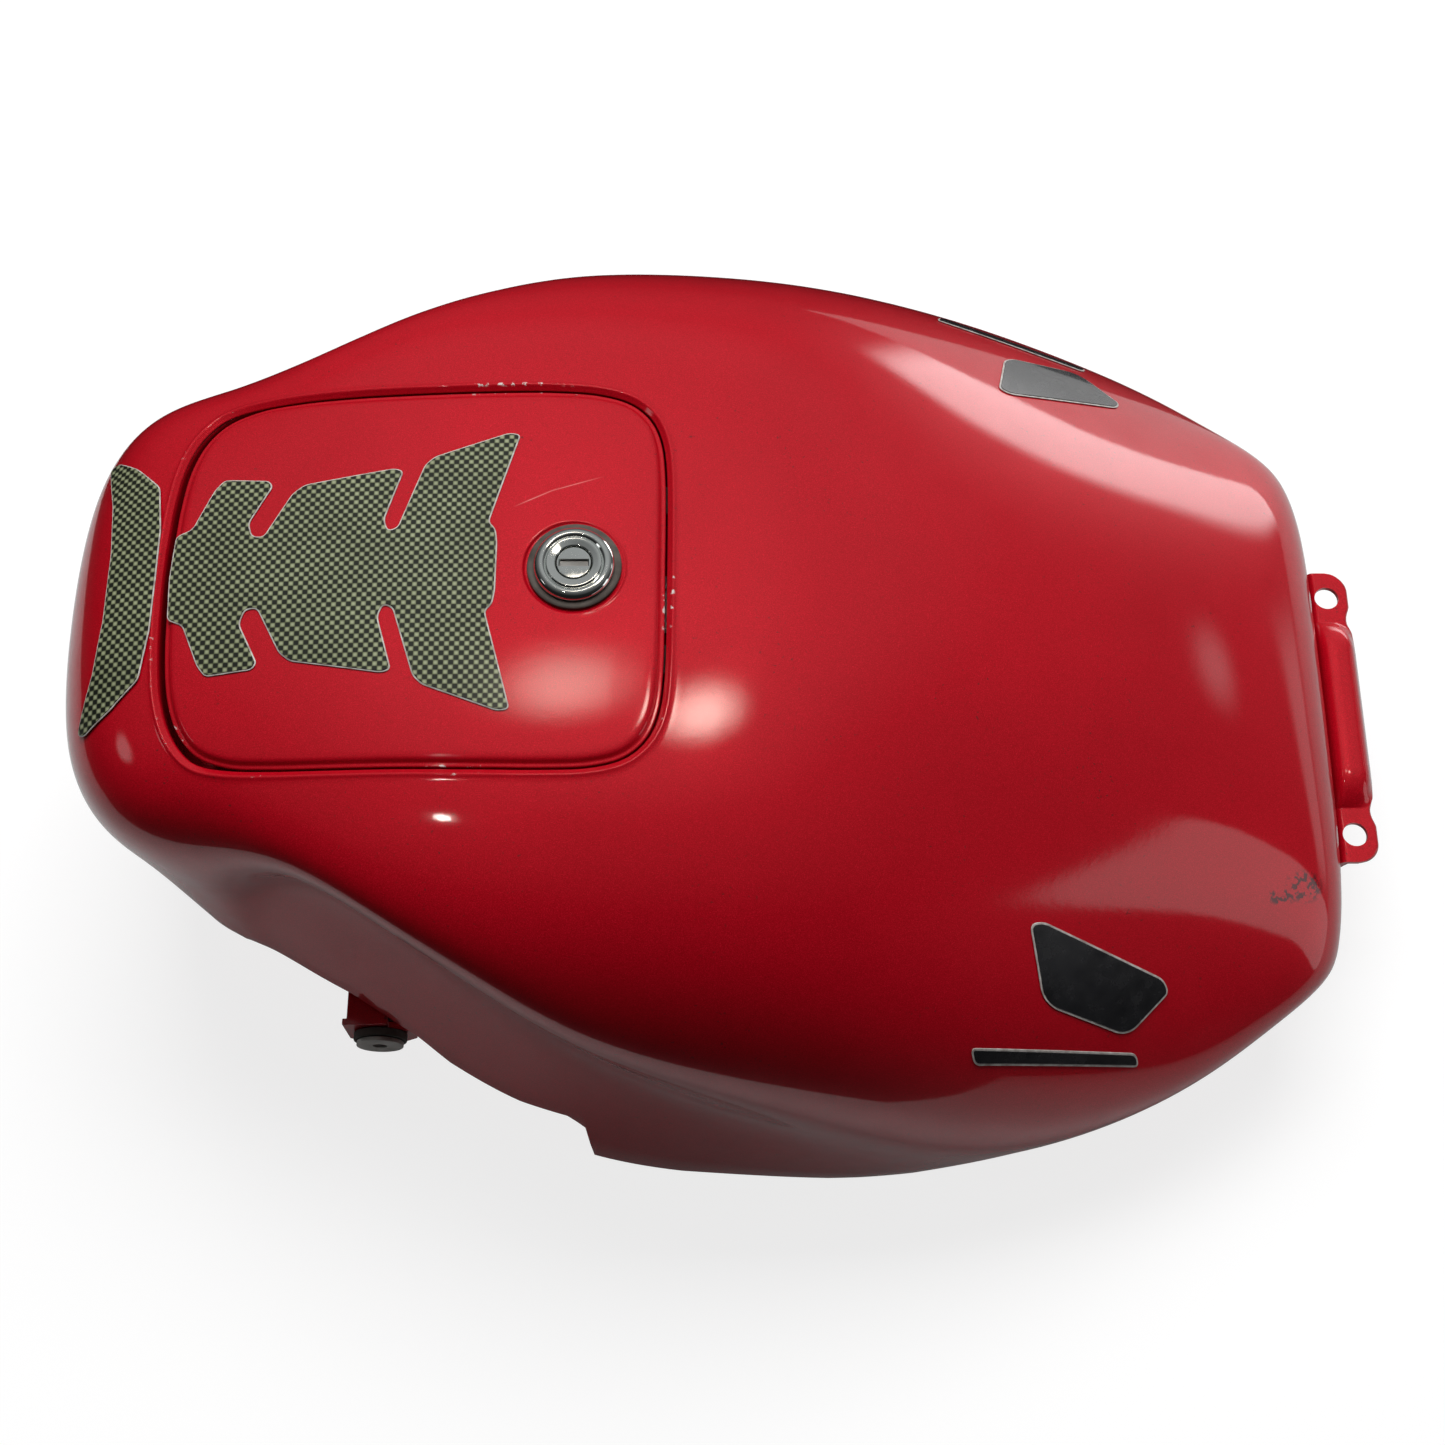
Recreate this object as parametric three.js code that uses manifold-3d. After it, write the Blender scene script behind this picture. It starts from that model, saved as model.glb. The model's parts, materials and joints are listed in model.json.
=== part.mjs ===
// Motorcycle fuel tank with a lockable hinged flap over the filler.
// Millimetres. X points to the front, Y to the left, Z up.
import * as THREE from 'three';
import { mergeVertices } from 'three/addons/utils/BufferGeometryUtils.js';
import Module from 'manifold-3d';

const wasm = await Module();
wasm.setup();

// ---------------------------------------------------------------- dimensions
const ORIGIN = [13.85, 0, 15.66];     // frame origin, in the numbers used below
const SHEET = 1.5;                  // steel sheet
const GAP = 0.35;                   // clearance between touching pieces
const FLAP_GAP = 3.0;               // slot around the flap
const FLAP_RETURN = 6.0;            // depth of the flap's folded edge
const WELL_FLOOR = 184.5;
const PIVOT = { x: -214, z: 228 };  // flap hinge
const LOCK = { x: -59, y: 0 };
const FILLER = { x: -125, y: 0 };
const TAP = { x: -105, y: 120 };
const SENDER = { x: 20, y: -125 };
const RETURN = { x: 30, y: 118 };
const DRAIN = { x: -190, y: 66 };
const BREATHER = { x: 20, y: 40 };
const BAFFLE_X = 165;
const LUG = { x: -157, y: 152.5, z: 71 };

// Control net of the pressed skin: rows run from the rear hem to the front hem,
// points run from the centre line down the left side; the right side mirrors them.
const NET = [
  // rear hem
  [[-288, 0, 100], [-288, 22, 100], [-286, 42, 100], [-282, 55, 100], [-276, 66, 101],
    [-269, 75, 102], [-263, 81, 102], [-257, 87, 102], [-251, 91, 102], [-244, 97, 102]],
  // rear face, low
  [[-293, 0, 126], [-293, 26, 126], [-290, 48, 126], [-283, 65, 126], [-274, 76, 125],
    [-265, 84, 123], [-257, 91, 120], [-250, 97, 116], [-243, 102, 110], [-236, 107, 103]],
  // rear face, high
  [[-293, 0, 190], [-292, 32, 190], [-288, 62, 190], [-278, 84, 188], [-266, 97, 179],
    [-255, 101, 162], [-247, 104, 145], [-240, 107, 130], [-233, 111, 116], [-226, 115, 102]],
  // tail edge
  [[-272, 0, 228], [-271, 36, 228], [-267, 72, 224], [-257, 97, 215], [-245, 109, 199],
    [-237, 111, 178], [-232, 111, 157], [-227, 112, 138], [-221, 115, 120], [-215, 119, 100]],
  // rear end of the flap
  [[-226, 0, 238], [-226, 40, 237], [-224, 78, 232], [-221, 101, 222], [-218, 115, 204],
    [-216, 119, 180], [-214, 117, 155], [-213, 117, 130], [-212, 120, 106], [-210, 122, 80]],
  // where the knee hollow starts
  [[-185, 0, 243], [-185, 42, 242], [-183, 86, 238], [-181, 111, 232], [-179, 123, 223],
    [-180, 118, 203], [-183, 107, 181], [-186, 108, 158], [-189, 122, 128], [-192, 137, 84]],
  // middle of the flap
  [[-140, 0, 247], [-140, 46, 246], [-139, 96, 242], [-137, 130, 234], [-135, 152, 221],
    [-136, 147, 200], [-139, 130, 172], [-140, 130, 145], [-138, 150, 110], [-137, 172, 66]],
  // front half of the flap
  [[-95, 0, 248], [-95, 50, 247], [-95, 104, 243], [-94, 144, 231], [-92, 170, 212],
    [-92, 177, 192], [-94, 162, 160], [-95, 158, 128], [-94, 176, 92], [-93, 196, 48]],
  // front end of the flap
  [[-50, 0, 248], [-50, 52, 247], [-50, 110, 242], [-50, 154, 226], [-49, 180, 204],
    [-48, 199, 178], [-48, 190, 146], [-48, 183, 112], [-48, 192, 72], [-47, 208, 14]],
  // middle of the tank
  [[40, 0, 240], [40, 56, 238], [41, 114, 230], [43, 164, 209], [45, 195, 178],
    [47, 211, 143], [48, 213, 108], [50, 210, 76], [51, 211, 46], [52, 215, 12]],
  // widest part
  [[120, 0, 212], [120, 58, 209], [121, 110, 190], [123, 152, 170], [126, 188, 148],
    [129, 211, 119], [131, 219, 92], [133, 219, 68], [134, 215, 48], [134, 210, 28]],
  // brow
  [[200, 0, 176], [200, 58, 171], [201, 104, 154], [204, 138, 135], [207, 165, 117],
    [210, 184, 101], [212, 192, 90], [213, 191, 80], [213, 187, 70], [213, 182, 58]],
  // front edge
  [[268, 0, 140], [268, 54, 137], [267, 94, 128], [264, 122, 117], [260, 142, 107],
    [257, 154, 99], [258, 158, 92], [259, 157, 86], [260, 154, 80], [261, 150, 72]],
  // front face
  [[298, 0, 118], [298, 50, 116], [298, 88, 112], [296, 112, 106], [293, 126, 101],
    [291, 132, 97], [289, 135, 93], [287, 136, 89], [286, 136, 84], [285, 134, 78]],
  // front hem
  [[296, 0, 86], [296, 48, 86], [296, 84, 86], [295, 102, 86], [294, 112, 86],
    [293, 118, 86], [292, 122, 85], [292, 124, 84], [291, 126, 83], [290, 128, 82]],
];

// Height of the lower edge of the skin along the tank, with the step of the side tabs.
const HEM = [[-300, 98], [-215, 99], [-191, 98], [-167, 96], [-137, 86], [-123, 77], [-91, 64],
  [-68, 58], [-61, 50], [-57, 16], [62, 16], [95, 22], [135, 40], [180, 55], [226, 68], [262, 78],
  [300, 80]];
// Height of the base pan beside the tunnel, and of the tunnel roof.
const PAN_FLOOR = [[-290, 110], [-190, 106], [-155, 98], [-142, 86], [-64, 86], [-48, 66],
  [-25, 44], [70, 44], [110, 50], [160, 64], [220, 82], [262, 92], [300, 94]];
const TUNNEL_ROOF = [[-290, 111], [-200, 118], [-120, 124], [-20, 122], [80, 114], [180, 104],
  [262, 95], [300, 94]];
const TUNNEL_HALF = [52, 92];       // half width of the roof, and of the foot of its walls

// Left half of the flap outline in plan, from the rear centre to the front centre.
const FLAP_HALF = [[-235.5, 0], [-235, 20], [-234, 38], [-231.5, 56], [-226, 71], [-217, 81.5],
  [-203, 86.5], [-185, 88.3], [-160, 89], [-130, 89.3], [-100, 89.8], [-70, 90], [-50, 88.8],
  [-36, 84.5], [-27, 76], [-22.3, 64], [-20.5, 48], [-20, 24], [-20, 0]];
// Left halves of the two stick-on pads.
const PAD_MAIN_HALF = [[-233, 0], [-232, 20], [-225, 23], [-217, 42], [-213, 47], [-193, 45],
  [-191, 42], [-200, 24], [-198, 17.5], [-193, 17], [-182, 38], [-177, 42], [-138, 48.5],
  [-134, 47], [-141, 23], [-139, 17.5], [-135, 19], [-125, 50], [-121, 54], [-89, 66], [-84, 65],
  [-96, 21], [-93, 18], [-92, 12], [-92, 0]];
const PAD_REAR_HALF = [[-238.8, 0], [-239, 24], [-242, 46], [-254, 58], [-266, 66], [-270, 64],
  [-264, 40], [-261.5, 16], [-261.5, 0]];
const EMBLEM = [[136, 134], [142, 132], [200, 147], [203, 152], [186, 169], [180, 171],
  [147, 165], [142, 161]];
const EMBLEM_BAR = [[110, 184], [188, 177], [190, 182], [112, 190]];

// ---------------------------------------------------------------- materials
const paint = { color: 0xb3122a, metalness: 0.3, roughness: 0.25 };
const steel = { color: 0xa9abad, metalness: 0.9, roughness: 0.4 };
const chrome = { color: 0xd8dadc, metalness: 1.0, roughness: 0.12 };
const rubber = { color: 0x201f1e, metalness: 0.0, roughness: 0.8 };
const carbon = { color: 0x3a3d34, metalness: 0.1, roughness: 0.35 };
const alloy = { color: 0xb4b2aa, metalness: 0.8, roughness: 0.5 };
const blackPlastic = { color: 0x18181a, metalness: 0.0, roughness: 0.5 };

const group = new THREE.Group();
group.name = 'fuel_tank';

// ---------------------------------------------------------------- small maths
const lerp = (a, b, t) => a + (b - a) * t;
const clamp = (v, lo, hi) => Math.min(Math.max(v, lo), hi);

function smooth(t) {
  const c = clamp(t, 0, 1);
  return c * c * (3 - 2 * c);
}

function profileHeight(points, x) {
  for (let i = 1; i < points.length; i += 1) {
    if (x <= points[i][0]) {
      const [x0, z0] = points[i - 1];
      const [x1, z1] = points[i];
      return lerp(z0, z1, clamp((x - x0) / (x1 - x0), 0, 1));
    }
  }
  return points[points.length - 1][1];
}

function steps(count, from = 0, to = 1) {
  return Array.from({ length: count + 1 }, (_, i) => lerp(from, to, i / count));
}

function mirrored(half) {
  const back = half.slice(1, -1).reverse().map(([x, y]) => [x, -y]);
  return [...half, ...back];
}

// ---------------------------------------------------------------- skin surface
const COLUMNS = NET[0].length;
const FULL_NET = NET.map((row) => [
  ...row.slice(1).reverse().map(([x, y, z]) => [x, -y, z]),
  ...row,
]);

function splineWeights(count, t) {
  const spans = count - 3;
  const x = clamp(t, 0, 1) * spans;
  const span = Math.min(Math.floor(x), spans - 1);
  const knot = (j) => clamp(j - 3, 0, spans);
  const w = [1, 0, 0, 0];
  const left = [0, 0, 0, 0];
  const right = [0, 0, 0, 0];
  for (let d = 1; d <= 3; d += 1) {
    left[d] = x - knot(span + 4 - d);
    right[d] = knot(span + 3 + d) - x;
    let saved = 0;
    for (let r = 0; r < d; r += 1) {
      const part = w[r] / (right[r + 1] + left[d - r]);
      w[r] = saved + right[r + 1] * part;
      saved = left[d - r] * part;
    }
    w[d] = saved;
  }
  return { span, w };
}

function skinPoint(u, v) {
  const a = splineWeights(NET.length, u);
  const b = splineWeights(2 * COLUMNS - 1, (v + 1) / 2);
  const p = [0, 0, 0];
  for (let i = 0; i < 4; i += 1) {
    for (let j = 0; j < 4; j += 1) {
      const c = FULL_NET[a.span + i][b.span + j];
      const k = a.w[i] * b.w[j];
      p[0] += c[0] * k;
      p[1] += c[1] * k;
      p[2] += c[2] * k;
    }
  }
  return p;
}

function skinNormal(u, v) {
  const h = 1e-3;
  const u0 = Math.max(u - h, 0);
  const u1 = Math.min(u + h, 1);
  const v0 = Math.max(v - h, -1);
  const v1 = Math.min(v + h, 1);
  const a = new THREE.Vector3(...skinPoint(u1, v)).sub(new THREE.Vector3(...skinPoint(u0, v)));
  const b = new THREE.Vector3(...skinPoint(u, v1)).sub(new THREE.Vector3(...skinPoint(u, v0)));
  return a.cross(b).normalize().toArray();
}

function skinLift(u, v, lift) {
  const p = skinPoint(u, v);
  const n = skinNormal(u, v);
  return [p[0] + n[0] * lift, p[1] + n[1] * lift, p[2] + n[2] * lift];
}

// Parameter of the lower edge at one row.
const hemCache = new Map();
function hemParameter(u) {
  if (hemCache.has(u)) return hemCache.get(u);
  const below = (v) => {
    const p = skinPoint(u, v);
    return p[2] < profileHeight(HEM, p[0]);
  };
  let value = 1;
  if (below(1)) {
    let lo = 0.6;
    let hi = 1;
    for (let i = 0; i < 30; i += 1) {
      const mid = (lo + hi) / 2;
      if (below(mid)) hi = mid;
      else lo = mid;
    }
    value = lo;
  }
  hemCache.set(u, value);
  return value;
}

// Surface parameters above a point in plan, on the upper sheet.
function locate(x, y) {
  let u = clamp((x + 285) / 570, 0.1, 0.95);
  let v = clamp(y / 230, -0.55, 0.55);
  for (let i = 0; i < 40; i += 1) {
    const h = 1e-3;
    const p = skinPoint(u, v);
    const pu = skinPoint(u + h, v);
    const pv = skinPoint(u, v + h);
    const a = (pu[0] - p[0]) / h;
    const b = (pv[0] - p[0]) / h;
    const c = (pu[1] - p[1]) / h;
    const d = (pv[1] - p[1]) / h;
    const det = a * d - b * c;
    const ex = x - p[0];
    const ey = y - p[1];
    if (Math.hypot(ex, ey) < 1e-4) break;
    u = clamp(u + clamp((d * ex - b * ey) / det, -0.08, 0.08), 0.02, 0.99);
    v = clamp(v + clamp((a * ey - c * ex) / det, -0.08, 0.08), -0.75, 0.75);
  }
  return [u, v];
}

function topHeight(x, y) {
  const [u, v] = locate(x, y);
  return skinPoint(u, v)[2];
}

// ---------------------------------------------------------------- solids
function solidFromArrays(points, triangles) {
  return new wasm.Manifold(new wasm.Mesh({
    numProp: 3,
    vertProperties: new Float32Array(points.flat()),
    triVerts: new Uint32Array(triangles.flat()),
  }));
}

function solidFromGeometry(geometry) {
  const bare = geometry.clone();
  bare.deleteAttribute('normal');
  bare.deleteAttribute('uv');
  const merged = mergeVertices(bare, 1e-4);
  return new wasm.Manifold(new wasm.Mesh({
    numProp: 3,
    vertProperties: new Float32Array(merged.attributes.position.array),
    triVerts: new Uint32Array(merged.index.array),
  }));
}

// Closed sheet between two point grids of the same size (upper grid faces out).
function sheetSolid(upper, lower) {
  const rows = upper.length;
  const columns = upper[0].length;
  const points = [...upper.flat(), ...lower.flat()];
  const shift = rows * columns;
  const at = (i, j) => i * columns + j;
  const triangles = [];
  const quad = (a, b, c, d) => triangles.push([a, b, c], [a, c, d]);
  for (let i = 0; i < rows - 1; i += 1) {
    for (let j = 0; j < columns - 1; j += 1) {
      quad(at(i, j), at(i + 1, j), at(i + 1, j + 1), at(i, j + 1));
      quad(shift + at(i, j), shift + at(i, j + 1), shift + at(i + 1, j + 1), shift + at(i + 1, j));
    }
  }
  const rim = [];
  for (let i = 0; i < rows - 1; i += 1) rim.push(at(i, 0));
  for (let j = 0; j < columns - 1; j += 1) rim.push(at(rows - 1, j));
  for (let i = rows - 1; i > 0; i -= 1) rim.push(at(i, columns - 1));
  for (let j = columns - 1; j > 0; j -= 1) rim.push(at(0, j));
  for (let k = 0; k < rim.length; k += 1) {
    const a = rim[k];
    const b = rim[(k + 1) % rim.length];
    quad(b, a, shift + a, shift + b);
  }
  return solidFromArrays(points, triangles);
}

function shapeOf(points, holes = []) {
  const shape = new THREE.Shape(points.map(([a, b]) => new THREE.Vector2(a, b)));
  for (const hole of holes) {
    shape.holes.push(new THREE.Path(hole.map(([a, b]) => new THREE.Vector2(a, b))));
  }
  return shape;
}

function extrude(points, depth, place) {
  const geometry = new THREE.ExtrudeGeometry(shapeOf(points), { depth, bevelEnabled: false });
  const position = geometry.attributes.position;
  for (let i = 0; i < position.count; i += 1) {
    const [x, y, z] = place(position.getX(i), position.getY(i), position.getZ(i));
    position.setXYZ(i, x, y, z);
  }
  return solidFromGeometry(geometry);
}

const prismZ = (points, z0, z1) => extrude(points, z1 - z0, (a, b, c) => [a, b, z0 + c]);
const prismX = (points, x0, x1) => extrude(points, x1 - x0, (a, b, c) => [x0 + c, a, b]);
const prismY = (points, y0, y1) => extrude(points, y1 - y0, (a, b, c) => [a, y1 - c, b]);

function block(x0, x1, y0, y1, z0, z1) {
  return prismZ([[x0, y0], [x1, y0], [x1, y1], [x0, y1]], z0, z1);
}

function discZ(x, y, radius, z0, z1, sides = 28) {
  const points = steps(sides).slice(0, sides).map((t) => [
    x + radius * Math.cos(t * 2 * Math.PI),
    y + radius * Math.sin(t * 2 * Math.PI),
  ]);
  return prismZ(points, z0, z1);
}

function discY(x, z, radius, y0, y1, sides = 24) {
  const points = steps(sides).slice(0, sides).map((t) => [
    x + radius * Math.cos(t * 2 * Math.PI),
    z + radius * Math.sin(t * 2 * Math.PI),
  ]);
  return prismY(points, y0, y1);
}

function ringZ(x, y, outer, inner, z0, z1, sides = 28) {
  return discZ(x, y, outer, z0, z1, sides).subtract(discZ(x, y, inner, z0 - 1, z1 + 1, sides));
}

// Turned solid about a vertical line; the profile holds [radius, height] pairs.
function turnedZ(x, y, profile, sides = 48) {
  const closed = [...profile, profile[0]].map(([r, z]) => new THREE.Vector2(r, z));
  const geometry = new THREE.LatheGeometry(closed, sides);
  geometry.rotateX(Math.PI / 2);
  geometry.translate(x, y, 0);
  const solid = solidFromGeometry(geometry);
  return solid;
}

function roundedBlock(cx, cy, width, depth, corner, z0, z1) {
  const points = [];
  const corners = [[1, 1, 0], [-1, 1, 90], [-1, -1, 180], [1, -1, 270]];
  for (const [sx, sy, start] of corners) {
    for (const t of steps(4)) {
      const angle = THREE.MathUtils.degToRad(start + 90 * t);
      points.push([
        cx + sx * (width / 2 - corner) + corner * Math.cos(angle),
        cy + sy * (depth / 2 - corner) + corner * Math.sin(angle),
      ]);
    }
  }
  return prismZ(points, z0, z1);
}

function hexagon(x, y, acrossFlats, z0, z1) {
  return discZ(x, y, acrossFlats / Math.sqrt(3), z0, z1, 6);
}

function add(name, solid, look) {
  const mesh = solid.getMesh();
  const geometry = new THREE.BufferGeometry();
  const stride = mesh.numProp;
  const count = mesh.vertProperties.length / stride;
  const position = new Float32Array(count * 3);
  for (let i = 0; i < count; i += 1) {
    for (let k = 0; k < 3; k += 1) {
      position[i * 3 + k] = mesh.vertProperties[i * stride + k] - ORIGIN[k];
    }
  }
  geometry.setAttribute('position', new THREE.BufferAttribute(position, 3));
  geometry.setIndex(Array.from(mesh.triVerts));
  const flat = geometry.toNonIndexed();
  flat.computeVertexNormals();
  const body = new THREE.Mesh(flat, new THREE.MeshStandardMaterial({ ...look, name }));
  body.name = name;
  group.add(body);
}

// Closed outline through the half points, moved outwards by an offset.
function flapOutline(offset, count = 48) {
  const curve = new THREE.CatmullRomCurve3(
    mirrored(FLAP_HALF).map(([x, y]) => new THREE.Vector3(x, y, 0)),
    true,
    'centripetal',
  );
  const points = curve.getSpacedPoints(count).slice(0, count);
  const moved = points.map((p, i) => {
    const before = points[(i + count - 1) % count];
    const after = points[(i + 1) % count];
    const tangent = after.clone().sub(before).normalize();
    return [p.x - tangent.y * offset, p.y + tangent.x * offset];
  });
  return moved.reverse();
}

function skinSheet(us, vs, topLift, bottomLift) {
  const grid = (lift) => us.map((u) => vs(u).map((v) => skinLift(u, v, lift)));
  return sheetSolid(grid(topLift), grid(bottomLift));
}

// Thin conforming plate inside an outline in plan.
function decal(outline, lift, thickness, us, vs) {
  const sheet = skinSheet(us, () => vs, lift + thickness, lift);
  return sheet.intersect(prismZ(outline, 60, 280));
}

// ---------------------------------------------------------------- skin
function rowOfX(x, v) {
  let lo = 0;
  let hi = 1;
  for (let i = 0; i < 30; i += 1) {
    const mid = (lo + hi) / 2;
    if (skinPoint(mid, v)[0] < x) lo = mid;
    else hi = mid;
  }
  return (lo + hi) / 2;
}

const stepRow = rowOfX(-59, 0.9);
const stepRows = [-0.012, -0.004, 0.004, 0.012].map((d) => stepRow + d);
const endRows = [0, 0.012, 0.028, 0.05, 0.075];
const skinRows = [...endRows, ...steps(17, 0.105, 0.895), ...endRows.map((u) => 1 - u), ...stepRows]
  .sort((a, b) => a - b);
const acrossSkin = (u) => steps(26, -1, 1).map((s) => s * hemParameter(u));
const opening = prismZ(flapOutline(FLAP_GAP / 2), 205, 270);
const skin = skinSheet(skinRows, acrossSkin, 0, -SHEET).subtract(opening);
add('tank_skin', skin, paint);

// ---------------------------------------------------------------- flap
const flapRows = steps(11, locate(-250, 0)[0], locate(-8, 0)[0]);
const flapColumns = steps(8, -0.5, 0.5);
const flapTop = topHeight(LOCK.x, LOCK.y);
const flapSheet = (top, bottom) => skinSheet(flapRows, () => flapColumns, top, bottom);
const flapPlate = flapSheet(0, -SHEET).intersect(prismZ(flapOutline(-FLAP_GAP / 2), 200, 270));
const flapWall = flapSheet(-SHEET + 0.2, -FLAP_RETURN)
  .intersect(prismZ(flapOutline(-FLAP_GAP / 2), 200, 270))
  .subtract(prismZ(flapOutline(-FLAP_GAP / 2 - SHEET), 190, 280));
const flapPanel = flapPlate.add(flapWall)
  .subtract(discZ(LOCK.x, LOCK.y, 21.8, flapTop - 0.5, flapTop + 6))
  .subtract(discZ(LOCK.x, LOCK.y, 10.6, flapTop - 12, flapTop + 6));
add('flap_panel', flapPanel, paint);

const flapInner = flapSheet(-SHEET - GAP, -SHEET - GAP - 1.2)
  .intersect(prismZ(flapOutline(-9), 200, 270))
  .subtract(discZ(LOCK.x, LOCK.y, 11, flapTop - 12, flapTop + 6));
add('flap_inner', flapInner, paint);

for (const [side, y] of [['left', 16], ['right', -16]]) {
  const innerBottom = (x) => topHeight(x, y) - SHEET - 1.2 - 5 * GAP;
  const ear = prismY([
    [-218.5, 228], [-209.5, 228], [-203, 232], [-196, innerBottom(-196)],
    [-218, innerBottom(-218)],
  ], y - 1.5, y + 1.5).add(discY(PIVOT.x, PIVOT.z, 5, y - 1.5, y + 1.5));
  add(`hinge_arm_${side}`, ear.subtract(discY(PIVOT.x, PIVOT.z, 3.3, y - 5, y + 5)), steel);
}
add('hinge_pin', discY(PIVOT.x, PIVOT.z, 3, -27, 27), steel);

const HINGE_FOOT = -190;
const footBase = WELL_FLOOR + SHEET + GAP;
const bracketWeb = block(HINGE_FOOT - 12, HINGE_FOOT + 12, -23.5, 23.5, footBase, footBase + 2.6);
const upright = (y) => prismY([
  [-199, footBase + 1], [-182, footBase + 1], [-184, 206], [-206, 229], [-212, 232.5],
  [-216.5, 231.5], [-218.5, 228], [-215, 223.5], [-199, 206],
].reverse(), y - 1.5, y + 1.5);
const footHoles = [10, -10].map((y) => discZ(HINGE_FOOT, y, 2.4, 170, 200, 16));
let hingeBracket = bracketWeb.add(upright(22)).add(upright(-22))
  .subtract(discY(PIVOT.x, PIVOT.z, 3.3, -40, 40));
for (const hole of footHoles) hingeBracket = hingeBracket.subtract(hole);
add('hinge_bracket', hingeBracket, steel);
for (const [side, y] of [['left', 10], ['right', -10]]) {
  const head = discZ(HINGE_FOOT, y, 4.2, footBase + 2.6 + GAP, footBase + 6, 18);
  const shank = discZ(HINGE_FOOT, y, 2, WELL_FLOOR - 6, footBase + 4, 18);
  add(`hinge_screw_${side}`, head.add(shank), steel);
}

// ---------------------------------------------------------------- filler well
const wellOuter = prismZ(flapOutline(FLAP_GAP / 2 + 1.7), WELL_FLOOR, 270);
const wellInner = prismZ(flapOutline(FLAP_GAP / 2 + 0.2), WELL_FLOOR + SHEET, 280);
const wellRows = steps(12, locate(-262, 0)[0], locate(4, 0)[0]);
const wellColumns = steps(10, -0.56, 0.56);
const below = (lift) => wellRows.map((u) => wellColumns.map((v) => skinLift(u, v, lift)));
const flatten = (grid, z) => grid.map((row) => row.map(([x, y]) => [x, y, z]));
const flangeTop = -SHEET - 1.1;
const underSkin = sheetSolid(below(flangeTop), flatten(below(flangeTop), 150));
const flange = sheetSolid(below(flangeTop), below(flangeTop - SHEET))
  .intersect(prismZ(flapOutline(FLAP_GAP / 2 + 7), 190, 280))
  .subtract(prismZ(flapOutline(FLAP_GAP / 2 + 0.2), 180, 290));
let well = wellOuter.subtract(wellInner).intersect(underSkin).add(flange)
  .subtract(discZ(FILLER.x, FILLER.y, 25.6, 170, 200))
  .subtract(discZ(DRAIN.x, DRAIN.y, 4.4, 170, 200, 20));
for (const hole of footHoles) well = well.subtract(hole);
add('filler_well', well, paint);

const neckTube = ringZ(FILLER.x, FILLER.y, 25, 22, 150, 199)
  .add(ringZ(FILLER.x, FILLER.y, 34, 22, WELL_FLOOR + SHEET + GAP, WELL_FLOOR + SHEET + 2.2))
  .add(ringZ(FILLER.x, FILLER.y, 28, 22, 196.5, 199));
add('filler_neck', neckTube, steel);
const neckRing = ringZ(FILLER.x, FILLER.y, 28, 26, 199.35, 207)
  .add(ringZ(FILLER.x, FILLER.y, 28, 21.8, 204.5, 207));
add('neck_ring', neckRing, alloy);

// ---------------------------------------------------------------- filler cap
const capPlug = discZ(FILLER.x, FILLER.y, 20.5, 197, 205)
  .add(discZ(FILLER.x, FILLER.y, 8, 190, 211));
add('cap_plug', capPlug, blackPlastic);
add('cap_gasket', ringZ(FILLER.x, FILLER.y, 27.6, 21, 207.35, 209), rubber);
const capShell = discZ(FILLER.x, FILLER.y, 33, 209.35, 213, 48)
  .add(ringZ(FILLER.x, FILLER.y, 33, 31.4, 203, 210, 48))
  .add(roundedBlock(FILLER.x, FILLER.y, 52, 11, 4, 212.5, 221))
  .subtract(discZ(FILLER.x, FILLER.y, 8.4, 200, 211.4));
add('cap_shell', capShell, blackPlastic);

// ---------------------------------------------------------------- lock
add('lock_gasket', ringZ(LOCK.x, LOCK.y, 20, 11, flapTop - 0.15, flapTop + 1.3, 48), rubber);
const bezelProfile = [[7.8, 1.6], [16.6, 1.6], [17.15, 2.2], [16.9, 3.4], [15.8, 4.6],
  [14.2, 5.2], [12.9, 5.0], [12.3, 4.4], [11.9, 4.9], [11.2, 5.1], [8.6, 4.6], [7.8, 4.2]];
const bezel = turnedZ(LOCK.x, LOCK.y, bezelProfile.map(([r, z]) => [r, flapTop + z]), 36);
add('lock_bezel', bezel, chrome);
const barrel = discZ(LOCK.x, LOCK.y, 9.5, 207.3, flapTop + 1.25)
  .subtract(discZ(LOCK.x, LOCK.y, 7.65, flapTop - 4.4, flapTop + 3))
  .subtract(discZ(LOCK.x, LOCK.y, 4.9, 200, flapTop));
add('lock_body', barrel, steel);
const lockNut = hexagon(LOCK.x, LOCK.y, 27, flapTop - 9, flapTop - 4)
  .subtract(discZ(LOCK.x, LOCK.y, 9.9, flapTop - 12, flapTop));
add('lock_nut', lockNut, steel);
const keySlot = block(LOCK.x - 6.4, LOCK.x + 6.4, -1.7, 1.7, flapTop - 0.6, flapTop + 6);
const plug = discZ(LOCK.x, LOCK.y, 7.3, flapTop - 4, flapTop + 4, 40).subtract(keySlot)
  .add(discZ(LOCK.x, LOCK.y, 4.5, 206.9, flapTop - 3.5, 24))
  .add(discZ(LOCK.x, LOCK.y, 3, 198.5, 207.5, 24));
add('lock_plug', plug, chrome);
add('key_shutter', block(LOCK.x - 6.1, LOCK.x + 6.1, -1.4, 1.4, flapTop + 1.6, flapTop + 2.7), alloy);
const cam = prismZ([
  [LOCK.x - 7, -8], [LOCK.x + 7, -8], [LOCK.x + 7, 8], [LOCK.x + 5, 31], [LOCK.x - 5, 31],
  [LOCK.x - 7, 8],
], 203.7, 206.5).subtract(discZ(LOCK.x, LOCK.y, 3.35, 200, 210, 24));
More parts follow.
